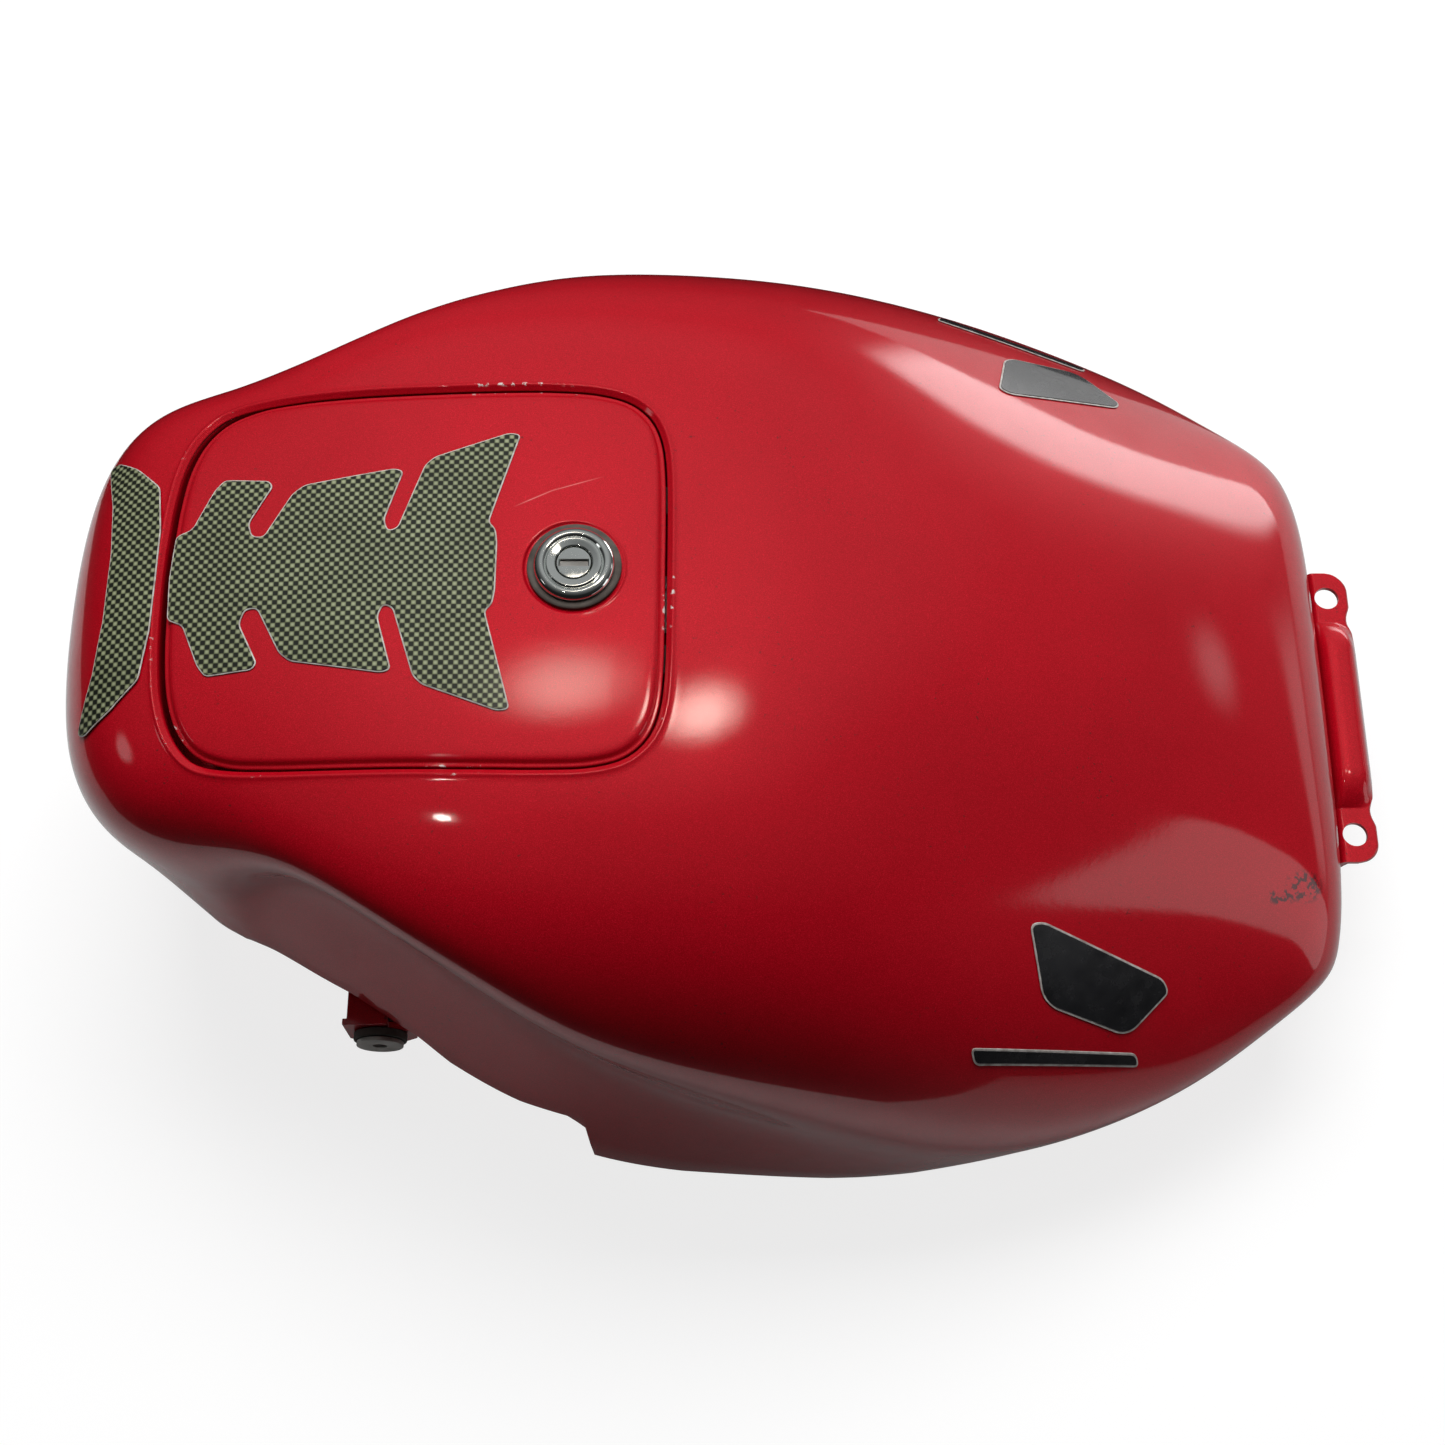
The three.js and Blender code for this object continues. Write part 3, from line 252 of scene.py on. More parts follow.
def smooth_loop(control, count, sigma):
    """Centripetal Catmull-Rom loop through the control points, eased over sigma mm."""
    points = []
    n = len(control)
    for i in range(n):
        p = [control[(i + k) % n] for k in (-1, 0, 1, 2)]
        t = [0.0]
        for k in range(3):
            t.append(t[-1] + max(np.linalg.norm(p[k + 1] - p[k]), 1e-9) ** 0.5)
        for s in np.linspace(t[1], t[2], 24, endpoint=False):
            a = [((t[k + 1] - s) * p[k] + (s - t[k]) * p[k + 1]) / (t[k + 1] - t[k])
                 for k in range(3)]
            b = [((t[k + 2] - s) * a[k] + (s - t[k]) * a[k + 1]) / (t[k + 2] - t[k])
                 for k in range(2)]
            points.append(((t[2] - s) * b[0] + (s - t[1]) * b[1]) / (t[2] - t[1]))
    loop = resampled(np.array(points), count)
    perimeter = np.linalg.norm(np.roll(loop, -1, axis=0) - loop, axis=1).sum()
    frequency = np.fft.fftfreq(count, d=perimeter / count)
    ease = np.exp(-2 * (math.pi * sigma * frequency) ** 2)
    wave = np.fft.fft(loop[:, 0] + 1j * loop[:, 1]) * ease
    eased = np.fft.ifft(wave)
    return np.stack([eased.real, eased.imag], axis=1)


def outward(loop):
    """Unit normals of a loop that runs clockwise seen from above."""
    tangent = unit(np.roll(loop, -1, axis=0) - np.roll(loop, 1, axis=0))
    return np.stack([-tangent[:, 1], tangent[:, 0]], axis=1)


def at_index(values, index):
    base = np.floor(index).astype(int)
    part = (index - base)[:, None]
    count = len(values)
    return values[base % count] * (1 - part) + values[(base + 1) % count] * part


EDGE = smooth_loop(mirrored(FLAP_HALF), 1440, 2.5)
EDGE_OUT = outward(EDGE)


def edge_plan(index, offset):
    return at_index(EDGE, index) + at_index(EDGE_OUT, index) * offset


def lip_plan(index, offset):
    """Like edge_plan, with the gap drawn closer away from the hinge end."""
    away = np.clip((at_index(EDGE, index)[:, :1] + 222) / 26, 0, 1)
    away = away * away * (3 - 2 * away)
    if offset > 0:
        shift = -CLOSER * np.interp(offset, [3.5, 7.5], [1, 0])
    else:
        shift = CLOSER * np.interp(-offset, [4.5, 8.5], [1, 0])
    return at_index(EDGE, index) + at_index(EDGE_OUT, index) * (offset + shift * away)


EVEN = np.arange(SPOKES) * len(EDGE) / SPOKES


# ------------------------------------------------------------------ mesh helpers
def strip(a, b):
    """Quads between two closed rings of vertex numbers, a outside or above b."""
    n = len(a)
    return [(a[k], b[k], b[(k + 1) % n], a[(k + 1) % n]) for k in range(n)]


class Rings:
    """Closed surface made of rings of points, each joined to the one before."""

    def __init__(self):
        self.points = []
        self.faces = []
        self.count = 0
        self.first = None
        self.chain = None

    def add(self, ring):
        fresh = list(range(self.count, self.count + len(ring)))
        self.points.append(ring)
        self.count += len(ring)
        if self.chain is None:
            self.first = fresh
        else:
            self.faces.extend(strip(self.chain, fresh))
        self.chain = fresh

    def close(self):
        self.faces.extend(strip(self.chain, self.first))
        return np.vstack(self.points), self.faces


def body_mesh(name, points, faces):
    """Clean mesh from points in body millimetres."""
    mesh = bpy.data.meshes.new(name)
    mesh.from_pydata([tuple(p) for p in to_frame(points)], [], faces)
    bm = bmesh.new()
    bm.from_mesh(mesh)
    bmesh.ops.remove_doubles(bm, verts=bm.verts, dist=2e-6)
    bmesh.ops.dissolve_degenerate(bm, edges=bm.edges, dist=1e-6)
    bmesh.ops.recalc_face_normals(bm, faces=bm.faces)
    bm.to_mesh(mesh)
    bm.free()
    return mesh


def finish_mesh(mesh, material, crease):
    mesh.materials.clear()
    mesh.materials.append(material)
    mesh.polygons.foreach_set("use_smooth", [True] * len(mesh.polygons))
    mesh.set_sharp_from_angle(angle=math.radians(crease))


def link_object(name, data):
    obj = bpy.data.objects.new(name, data)
    bpy.context.scene.collection.objects.link(obj)
    return obj


def place_piece(name, mesh, look, nodes, crease):
    """Piece that stands for the named CAD nodes; a look is a material and its slot, and the slot is
    not used.
    """
    material, slot = look
    finish_mesh(mesh, material, crease)
    obj = link_object(name, mesh)
    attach(obj, NODES[nodes[0]]["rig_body"])
    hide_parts(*nodes)
    return obj


def make_piece(name, points, faces, look, *nodes, crease=CREASE):
    return place_piece(name, body_mesh(name, points, faces), look, nodes, crease)


def add_bevel(obj, width, angle=30):
    bevel = obj.modifiers.new("edge_radius", "BEVEL")
    bevel.width = width * MM
    bevel.segments = 2
    bevel.limit_method = "ANGLE"
    bevel.angle_limit = math.radians(angle)
    bevel.use_clamp_overlap = True
    bevel.harden_normals = True


def refined(node, name, look, width, angle=30):
    """A welded copy of a CAD node with flat faces joined and edges rounded."""
    level = math.radians(0.6)
    bm = bmesh.new()
    bm.from_mesh(NODES[node].data)
    bmesh.ops.remove_doubles(bm, verts=bm.verts, dist=5e-6)
    bmesh.ops.dissolve_limit(bm, angle_limit=level, verts=bm.verts, edges=bm.edges)
    bmesh.ops.recalc_face_normals(bm, faces=bm.faces)
    mesh = bpy.data.meshes.new(name)
    bm.to_mesh(mesh)
    bm.free()
    obj = place_piece(name, mesh, look, (node,), angle)
    if width:
        add_bevel(obj, width, angle)


def lathe(profile, centre, sides=96, axis="Z", wave=None):
    """Closed turned solid; the profile holds [radius, height] pairs."""
    profile = np.asarray(profile, float)
    angle = np.linspace(0, 2 * math.pi, sides, endpoint=False)
    points = []
    for t in angle:
        factor = 1.0 if wave is None else wave(t)
        for r, h in profile:
            q = r * factor if r > 0.9 * profile[:, 0].max() else r
            local = (q * math.cos(t), q * math.sin(t), h)
            if axis == "Y":
                local = (local[0], local[2], local[1])
            points.append([local[k] + centre[k] for k in range(3)])
    n = len(profile)
    faces = []
    for i in range(sides):
        for j in range(n):
            a, b = i * n + j, i * n + (j + 1) % n
            c, d = ((i + 1) % sides) * n + (j + 1) % n, ((i + 1) % sides) * n + j
            faces.append((a, b, c, d))
    return points, faces


def rounded(profile, radius, steps=4):
    """The closed profile with each corner turned into a small arc."""
    profile = np.asarray(profile, float)
    n = len(profile)
    result = []
    for i in range(n):
        here = profile[i]
        back = profile[(i - 1) % n] - here
        ahead = profile[(i + 1) % n] - here
        if here[0] < 1e-6:
            result.append(here)
            continue
        reach = min(radius, 0.45 * np.linalg.norm(back), 0.45 * np.linalg.norm(ahead))
        a = here + unit(back) * reach
        b = here + unit(ahead) * reach
        for s in np.linspace(0, 1, steps + 1):
            result.append((1 - s) ** 2 * a + 2 * s * (1 - s) * here + s ** 2 * b)
    return np.array(result)


def turned(name, profile, centre, look, *nodes, radius=0.3, sides=96, axis="Z", crease=CREASE):
    points, faces = lathe(rounded(profile, radius), centre, sides, axis)
    make_piece(name, points, faces, look, *nodes, crease=crease)


def cylinder(centre, radius, low, high, axis="Z", sides=64):
    return lathe([[0, low], [radius, low], [radius, high], [0, high]], centre, sides, axis)


def box_shape(low, high):
    corners = [[(low, high)[(i >> k) & 1][k] for k in range(3)] for i in range(8)]
    faces = [(0, 2, 3, 1), (4, 5, 7, 6), (0, 1, 5, 4), (2, 6, 7, 3), (0, 4, 6, 2), (1, 3, 7, 5)]
    return corners, faces


def carve(obj, shapes, operation="DIFFERENCE", crease=CREASE):
    """Boolean with each shape in turn, applied to the mesh."""
    tools = []
    for i, (points, faces) in enumerate(shapes):
        tool = link_object(f"tool_{i}", body_mesh(f"tool_{i}", points, faces))
        change = obj.modifiers.new("carve", "BOOLEAN")
        change.operation = operation
        change.solver = "EXACT"
        change.object = tool
        tools.append(tool)
    graph = bpy.context.evaluated_depsgraph_get()
    graph.update()
    mesh = bpy.data.meshes.new_from_object(obj.evaluated_get(graph))
    obj.modifiers.clear()
    material = obj.data.materials[0]
    obj.data = mesh
    finish_mesh(mesh, material, crease)
    mesh.polygons.foreach_set("material_index", [0] * len(mesh.polygons))
    for tool in tools:
        bpy.data.objects.remove(tool)


# ------------------------------------------------------------------ material helpers
class Shader:
    """A node material under construction, with one Principled shader."""

    def __init__(self, name, **sockets):
        self.material = bpy.data.materials.new(name)
        self.material.use_nodes = True
        self.tree = self.material.node_tree
        self.body = next(n for n in self.tree.nodes if n.type == "BSDF_PRINCIPLED")
        for key, value in sockets.items():
            self.body.inputs[key.replace("_", " ")].default_value = value
        self.place = self.node("ShaderNodeTexCoord").outputs["Object"]

    def node(self, kind, inputs=None, **settings):
        made = self.tree.nodes.new(kind)
        for key, value in settings.items():
            setattr(made, key, value)
        for key, value in (inputs or {}).items():
            if isinstance(value, bpy.types.NodeSocket):
                self.tree.links.new(value, made.inputs[key])
            else:
                made.inputs[key].default_value = value
        return made

    def noise(self, scale, detail=3.0, roughness=0.55, vector=None):
        inputs = {"Vector": vector or self.place, "Scale": scale, "Detail": detail,
                  "Roughness": roughness}
        return self.node("ShaderNodeTexNoise", inputs).outputs["Fac"]

    def ramp(self, value, *stops):
        made = self.node("ShaderNodeValToRGB", {"Fac": value})
        elements = made.color_ramp.elements
        while len(elements) < len(stops):
            elements.new(0.5)
        for element, (position, colour) in zip(elements, stops):
            element.position = position
            if not hasattr(colour, "__len__"):
                colour = (colour,) * 3
            element.color = (*colour, 1.0)
        return made.outputs["Color"]

    def math(self, operation, a, b=0.0):
        return self.node("ShaderNodeMath", {0: a, 1: b}, operation=operation).outputs[0]

    def spread(self, value, low, high, at_low, at_high, **settings):
        """The value's range from low to high, mapped to at_low to at_high."""
        inputs = {"Value": value, 1: low, 2: high, 3: at_low, 4: at_high}
        return self.node("ShaderNodeMapRange", inputs, **settings).outputs[0]

    def vector(self, operation, a, b, output="Vector"):
        made = self.node("ShaderNodeVectorMath", {0: a, 1: b}, operation=operation)
        return made.outputs[output]

    def mix(self, factor, a, b, blend="MIX"):
        made = self.node("ShaderNodeMix", {0: factor, 6: a, 7: b}, data_type="RGBA",
                         blend_type=blend)
        return made.outputs[2]

    def bump(self, height, strength, distance, normal=None):
        inputs = {"Height": height, "Strength": strength, "Distance": distance}
        if normal is not None:
            inputs["Normal"] = normal
        return self.node("ShaderNodeBump", inputs).outputs["Normal"]

    def near(self, centre, radius, stretch=(1.0, 1.0, 1.0)):
        """1 inside a ball about a point of the object, 0 outside it."""
        shift = self.vector("SUBTRACT", self.place, tuple(to_frame(centre)))
        scaled = self.vector("MULTIPLY", shift, stretch)
        length = self.vector("LENGTH", scaled, (0, 0, 0), "Value")
        reach = radius * MM
        return self.spread(length, reach, 0.75 * reach, 0.0, 1.0)

    def scored(self, start, end, width):
        """1 along a thin straight line in plan, fading out at its ends."""
        first, last = to_frame([(*start, 0), (*end, 0)])
        span = last - first
        length = float(np.hypot(span[0], span[1]))
        ahead = (span[0] / length, span[1] / length, 0.0)
        aside = (-ahead[1], ahead[0], 0.0)
        shift = self.vector("SUBTRACT", self.place, tuple(first))
        along = self.vector("DOT_PRODUCT", shift, ahead, "Value")
        across = self.math("ABSOLUTE", self.vector("DOT_PRODUCT", shift, aside, "Value"))
        fades = [(across, 0.2 * width * MM, 0.5 * width * MM, 1.0, 0.0),
                 (along, 0.0, 0.35 * length, 0.0, 1.0),
                 (along, 0.6 * length, length, 1.0, 0.0)]
        mask = 1.0
        for fade in fades:
            mask = self.math("MULTIPLY", mask, self.spread(*fade))
        return mask

    def set(self, **sockets):
        for key, value in sockets.items():
            self.tree.links.new(value, self.body.inputs[key.replace("_", " ")])
        return self


def rgba(*colour):
    return (*colour, 1.0)


# Wear of the paint: chips by centre and radius, scuffs by centre, radius and stretch, and
# scratches in plan by start, end and width.
CHIPS = [((173, 57, 184), 1.4), ((152, -46, 194), 0.5), ((-8, 12, 246), 0.35),
         ((-246, 70, 218), 0.8)]
SCUFFS = [((276, -101, 124), 9.0, (0.5, 1.0, 1.0)), ((262, -107, 128), 7.0, (0.6, 1.4, 1.0))]
SCRATCHES = [((-86, 28.6), (-66, 38.6), 0.7), ((-73, 35.6), (-47, 44.6), 0.6)]


def paint_material():
    made = Shader("candy_red_paint", Metallic=0.22, Roughness=0.36, Coat_Weight=1.0,
                  Coat_Roughness=0.055, Coat_IOR=1.5, Specular_IOR_Level=0.12)
    flakes = made.noise(2400, 2.0)
    drift = made.noise(7, 5.0)
    base = made.ramp(flakes, (0.30, (0.36, 0.001, 0.006)), (0.55, (0.52, 0.002, 0.012)),
                     (0.75, (0.70, 0.008, 0.026)))
    tone = made.ramp(drift, (0.30, (0.86, 0.84, 0.84)), (0.70, (1.0, 1.0, 1.0)))
    colour = made.mix(1.0, base, tone, "MULTIPLY")
    # dark pits and settled dust
    pits = made.ramp(made.noise(620, 1.0), (0.70, 0.0), (0.735, 1.0))
    patches = made.ramp(made.noise(22, 4.0), (0.45, 0.0), (0.62, 1.0))
    pitted = made.math("MULTIPLY", pits, made.math("MULTIPLY", patches, 0.75))
    colour = made.mix(pitted, colour, rgba(0.10, 0.012, 0.012))
    # chips down to the primer along the pressed edges and on a few spots
    edge = made.node("ShaderNodeAttribute", attribute_name="edge").outputs["Fac"]
    broken = made.ramp(made.noise(420, 3.0), (0.61, 0.0), (0.66, 1.0))
    clusters = made.ramp(made.noise(26, 2.0), (0.55, 0.0), (0.60, 1.0))
    chips = made.math("MULTIPLY", edge, made.math("MULTIPLY", broken, clusters))
    for centre, radius in CHIPS:
        chips = made.math("MAXIMUM", chips, made.near(centre, radius))
    for centre, radius, stretch in SCUFFS:
        torn = made.ramp(made.noise(330, 4.0), (0.50, 0.0), (0.56, 1.0))
        spot = made.math("MULTIPLY", made.near(centre, radius, stretch), torn)
        colour = made.mix(spot, colour, rgba(0.09, 0.006, 0.010))
    for start, end, width in SCRATCHES:
        scratch = made.math("MULTIPLY", made.scored(start, end, width), 0.55)
        colour = made.mix(scratch, colour, rgba(0.72, 0.30, 0.28))
    colour = made.mix(chips, colour, rgba(0.60, 0.56, 0.53))
    rough = made.ramp(made.noise(46, 5.0), (0.30, 0.32), (0.75, 0.44))
    rough = made.mix(chips, rough, rgba(0.75, 0.75, 0.75))
    metal = made.math("MULTIPLY", made.math("SUBTRACT", 1.0, chips), 0.25)
    normal = made.bump(made.noise(2400, 1.0), 0.10, 0.00004)
    normal = made.bump(made.noise(150, 2.0), 0.06, 0.00025, normal)
    normal = made.bump(chips, -0.5, 0.0002, normal)
    coat = made.bump(made.noise(230, 3.0), 0.05, 0.0002)
    made.set(Base_Color=colour, Roughness=rough, Metallic=metal, Normal=normal,
             Coat_Normal=coat)
    return made.material


def drifting(name, colour, rough, grain=None, **sockets):
    """Material whose colour and roughness wander with noise, with a fine grain on top.

    colour and rough hold the scale and detail of their noise and then the stops of a ramp; grain
    holds the scale, detail, strength and depth of a bump.
    """
    made = Shader(name, **sockets)
    for socket, (scale, detail, *stops) in (("Base_Color", colour), ("Roughness", rough)):
        made.set(**{socket: made.ramp(made.noise(scale, detail), *stops)})
    if grain:
        scale, detail, strength, depth = grain
        made.set(Normal=made.bump(made.noise(scale, detail), strength, depth))
    return made.material


def carbon_material():
    made = Shader("printed_carbon", Roughness=0.38, Coat_Weight=0.7, Coat_Roughness=0.12,
                  Specular_IOR_Level=0.25)
    split = made.node("ShaderNodeSeparateXYZ", {0: made.place})
    waves = []
    for axis in ("X", "Y"):
        turned_by = made.math("MULTIPLY", split.outputs[axis], math.pi / (WEAVE * MM))
        waves.append(made.math("COSINE", turned_by))
    weave = made.math("MULTIPLY", waves[0], waves[1])
    half = made.math("MULTIPLY_ADD", weave, 0.5)
    half.node.inputs[2].default_value = 0.5
    colour = made.ramp(half, (0.0, (0.010, 0.012, 0.008)), (0.44, (0.013, 0.015, 0.010)),
                       (0.57, (0.14, 0.155, 0.085)), (0.80, (0.25, 0.275, 0.16)),
                       (1.0, (0.33, 0.36, 0.23)))
    wear = made.ramp(made.noise(34, 4.0), (0.35, (0.78, 0.78, 0.76)), (0.7, (1.0, 1.0, 1.0)))
    colour = made.mix(1.0, colour, wear, "MULTIPLY")
    made.set(
        Base_Color=colour,
        Roughness=made.ramp(made.noise(120, 4.0), (0.3, 0.28), (0.8, 0.48)),
        Normal=made.bump(half, 0.25, 0.00012),
        Coat_Normal=made.bump(made.noise(500, 3.0), 0.06, 0.0001),
    )
    return made.material


# Looks: a material and its slot.
PAINT = (paint_material(), "red_paint")
CHROME = (drifting(
    "polished_chrome", (60, 5.0, (0.3, (0.80, 0.84, 0.81)), (0.7, (0.90, 0.94, 0.91))),
    (300, 4.0, (0.35, 0.04), (0.75, 0.16)), (900, 2.0, 0.03, 0.00003),
    Metallic=1.0, Roughness=0.06), "chrome")
STEEL = (drifting(
    "plated_steel", (38, 6.0, (0.28, (0.26, 0.25, 0.22)), (0.52, (0.50, 0.50, 0.48)),
                     (0.80, (0.62, 0.62, 0.61))),
    (110, 5.0, (0.3, 0.26), (0.8, 0.52)), (1200, 3.0, 0.12, 0.00006),
    Metallic=0.95, Roughness=0.36), "plated_steel")
ALLOY = (drifting(
    "cast_alloy", (50, 5.0, (0.3, (0.30, 0.29, 0.27)), (0.7, (0.52, 0.52, 0.50))),
    (160, 5.0, (0.3, 0.42), (0.8, 0.64)), (900, 5.0, 0.35, 0.00012),
    Metallic=0.85, Roughness=0.5), "cast_alloy")
RUBBER = (drifting(
    "aged_rubber", (90, 6.0, (0.3, (0.040, 0.034, 0.030)), (0.75, (0.115, 0.098, 0.086))),
    (240, 4.0, (0.3, 0.58), (0.8, 0.86)), (1400, 4.0, 0.3, 0.0001),
    Roughness=0.72, Specular_IOR_Level=0.35), "rubber")
PLASTIC = (drifting(
    "moulded_plastic", (70, 5.0, (0.3, (0.012, 0.012, 0.013)), (0.75, (0.030, 0.030, 0.031))),
    (190, 4.0, (0.3, 0.36), (0.8, 0.58)), (2200, 3.0, 0.3, 0.00006),
    Roughness=0.45), "black_plastic")
CARBON = (carbon_material(), "carbon_pad")
PAD_FILM = (drifting(
    "clear_film_edge", (260, 4.0, (0.35, (0.30, 0.26, 0.24)), (0.7, (0.62, 0.60, 0.57))),
    (300, 3.0, (0.3, 0.35), (0.8, 0.6)), Roughness=0.4, Coat_Weight=0.4), "carbon_pad")
BADGE_FILM = (PAD_FILM[0], "badge")
BADGE = (drifting(
    "badge_black", (45, 5.0, (0.3, (0.006, 0.006, 0.007)), (0.75, (0.016, 0.016, 0.018))),
    (150, 4.0, (0.3, 0.18), (0.8, 0.34)),
    Roughness=0.22, Coat_Weight=0.9, Coat_Roughness=0.06), "badge")


# ------------------------------------------------------------------ pressed skin
# The rim of the opening: distance out from the flap's outline, and height over the skin.
LIP = [(6.4, 0.0), (5.2, 0.05), (4.6, 0.22), (4.15, 0.44), (3.8, 0.50), (3.45, 0.36),
       (3.1, 0.02), (2.7, -0.42), (2.35, -0.82), (2.0, -1.16), (1.75, -1.42), (1.55, -1.66),
       (1.5, -1.85), (1.8, -2.05), (3.2, -2.0), (5.0, -1.7)]
WORN = {(4.15, 0.44): 0.6, (3.8, 0.50): 1.0, (3.45, 0.36): 1.0, (3.1, 0.02): 0.5}
RIM = 8.0                       # from the flap's outline to the first ring of the opening
STEP_X = -59.0                  # where the lower edge steps down to the side tabs
HEM_ZONE = 0.86                 # share of each half row above which the grid follows HEM
HEM_MARGIN = 0.5                # room for the roll of the lower edge
HEM_ROLL = [(0.28, 1.38), (0.45, 1.0), (0.48, 0.7), (0.4, 0.3), (0.22, 0.08)]
# HEM without its step, for an even grid.
EASY_HEM = np.array([[-300, 98], [-215, 99], [-167, 96], [-137, 87], [-110, 74], [-85, 60],
                     [-50, 38], [-20, 20], [62, 16], [95, 22], [135, 40], [180, 55],
                     [226, 68], [262, 78], [300, 80]], float)


def mark_edges(obj, marks):
    """Per-point amount of edge wear, matched to the nearest marked point."""
    layer = obj.data.attributes.new("edge", "FLOAT", "POINT")
    coords = np.zeros(len(obj.data.vertices) * 3)
    obj.data.vertices.foreach_get("co", coords)
    coords = np.round(coords.reshape(-1, 3) * 1e5).astype(int)
    table = {}
    for points, amount in marks:
        for key in np.round(to_frame(points) * 1e5).astype(int):
            table[tuple(key)] = amount
    values = [table.get(tuple(c), 0.0) for c in coords]
    layer.data.foreach_set("value", values)


def build_skin():
    step_u = np.interp(STEP_X, skin(np.linspace(0.2, 0.7, 400), 0.9)[:, 0],
                       np.linspace(0.2, 0.7, 400))
    rows = np.unique(np.concatenate([
        np.linspace(0, 0.12, 26), np.linspace(0.12, 0.88, 118), np.linspace(0.88, 1, 24),
        step_u + np.array([-0.009, -0.006, -0.004, -0.002, 0, 0.002, 0.004, 0.006, 0.009]),
    ]))
    half = np.concatenate([np.linspace(0, HEM_ZONE, 52), np.linspace(0.875, 1, 12)])
    columns = np.concatenate([-half[:0:-1], half])
    hem = hem_parameter(rows)
    base = np.minimum(hem_parameter(rows, EASY_HEM), 1.0)
    _, slope = skin_slopes(rows, hem)
    hem = hem - HEM_MARGIN / np.linalg.norm(slope, axis=-1)
    share = np.clip((np.abs(columns) - HEM_ZONE) / (1 - HEM_ZONE), 0, 1)
    v = columns * base[:, None] + np.sign(columns) * share * (hem - base)[:, None]
    u = np.broadcast_to(rows[:, None], v.shape)

    # block of the grid that gives way to rings round the opening
    count_r, count_c = v.shape
    middle = count_c // 2
    outline_u, outline_v = locate(EDGE + EDGE_OUT * RIM)
    r0 = int(np.searchsorted(rows, outline_u.min() - 0.012)) - 1
    r1 = int(np.searchsorted(rows, outline_u.max() + 0.012))
    widest = np.abs(outline_v).max() + 0.035
    c1 = int(np.searchsorted(columns, widest / base[r0:r1].min()))
    c0 = count_c - 1 - c1

    index = np.arange(count_r * count_c).reshape(count_r, count_c)
    faces = []
    for i in range(count_r - 1):
        for j in range(count_c - 1):
            if r0 <= i < r1 and c0 <= j < c1:
                continue
            faces.append((index[i, j], index[i + 1, j], index[i + 1, j + 1], index[i, j + 1]))

    def loop(a0, a1, b0, b1):
        ring = [(a0, j) for j in range(middle, b1)]
        ring += [(i, b1) for i in range(a0, a1)]
        ring += [(a1, j) for j in range(b1, b0, -1)]
        ring += [(i, b0) for i in range(a1, a0, -1)]
        ring += [(a0, j) for j in range(b0, middle)]
        return ring

    block = loop(r0, r1, c0, c1)
    block_u = np.array([u[i, j] for i, j in block])
    block_v = np.array([v[i, j] for i, j in block])
    centre_u = (outline_u.min() + outline_u.max()) / 2
    half_u = (block_u.max() - block_u.min()) / 2
    half_v = np.abs(block_v).max()

    def turn(a, b):
        return -np.unwrap(np.arctan2(b / half_v, (a - centre_u) / half_u))

    edge_turn = turn(outline_u, outline_v)
    block_turn = turn(block_u, block_v)
    extended = np.concatenate([edge_turn - 2 * math.pi, edge_turn, edge_turn + 2 * math.pi])
    numbers = np.arange(-len(EDGE), 2 * len(EDGE), dtype=float)
    wanted = block_turn - 2 * math.pi * round((block_turn[0] - edge_turn[0]) / (2 * math.pi))
    spokes = np.interp(wanted, extended, numbers)
    near_u, near_v = locate(edge_plan(spokes, RIM))

    used = sorted({k for face in faces for k in face})
    renumber = {k: n for n, k in enumerate(used)}
    flat_u = list(u.ravel()[used])
    flat_v = list(v.ravel()[used])
    faces = [tuple(renumber[k] for k in face) for face in faces]
    ring = [renumber[index[i, j]] for i, j in block]
    for t in np.linspace(0, 1, 9)[1:]:
        fresh = list(range(len(flat_u), len(flat_u) + len(block)))
        flat_u += list(block_u * (1 - t) + near_u * t)
        flat_v += list(block_v * (1 - t) + near_v * t)
        faces += strip(ring, fresh)
        ring = fresh
    hem_loop = [renumber[index[i, j]] for i, j in loop(0, count_r - 1, 0, count_c - 1)]
    flat_u, flat_v = np.array(flat_u), np.array(flat_v)

    outer = lifted(flat_u, flat_v, np.zeros(len(flat_u)))
    inner = lifted(flat_u, flat_v, np.full(len(flat_u), -SHEET))
    total = len(outer)
    faces += [tuple(k + total for k in reversed(face)) for face in faces]

    # lip round the opening, from the outer sheet to the inner one
    shell = Rings()
    shell.points = [outer, inner]
    shell.faces = faces
    shell.count = 2 * total
    shell.chain = ring
    shell.first = [k + total for k in ring]
    marks = []
    for offset, lift in LIP:
        raised = draped(lip_plan(spokes, offset), lift)
        shell.add(raised)
        if (offset, lift) in WORN:
            marks.append((raised, WORN[(offset, lift)]))
    shell.close()

    # rolled lower hem
    hem_u, hem_v = flat_u[hem_loop], flat_v[hem_loop]
    normal, slope = skin_slopes(hem_u, hem_v)
    sideways = unit(slope) * np.sign(hem_v)[:, None]
    plain_end = np.isin(hem_u, [rows[0], rows[-1]])
    ahead = unit(skin(np.clip(hem_u + 1e-3, 0, 1), hem_v) - skin(np.clip(hem_u - 1e-3, 0, 1), hem_v))
    ahead = ahead * np.where(hem_u > 0.5, 1, -1)[:, None]
    down = np.where(plain_end[:, None], ahead, sideways)
    shell.chain = [k + total for k in hem_loop]
    shell.first = hem_loop
    for reach, depth in HEM_ROLL:
        shell.add(outer[hem_loop] + down * reach - normal * depth)
    obj = make_piece("skin_pressing", *shell.close(), PAINT, "tank_skin", crease=60)
    mark_edges(obj, marks)


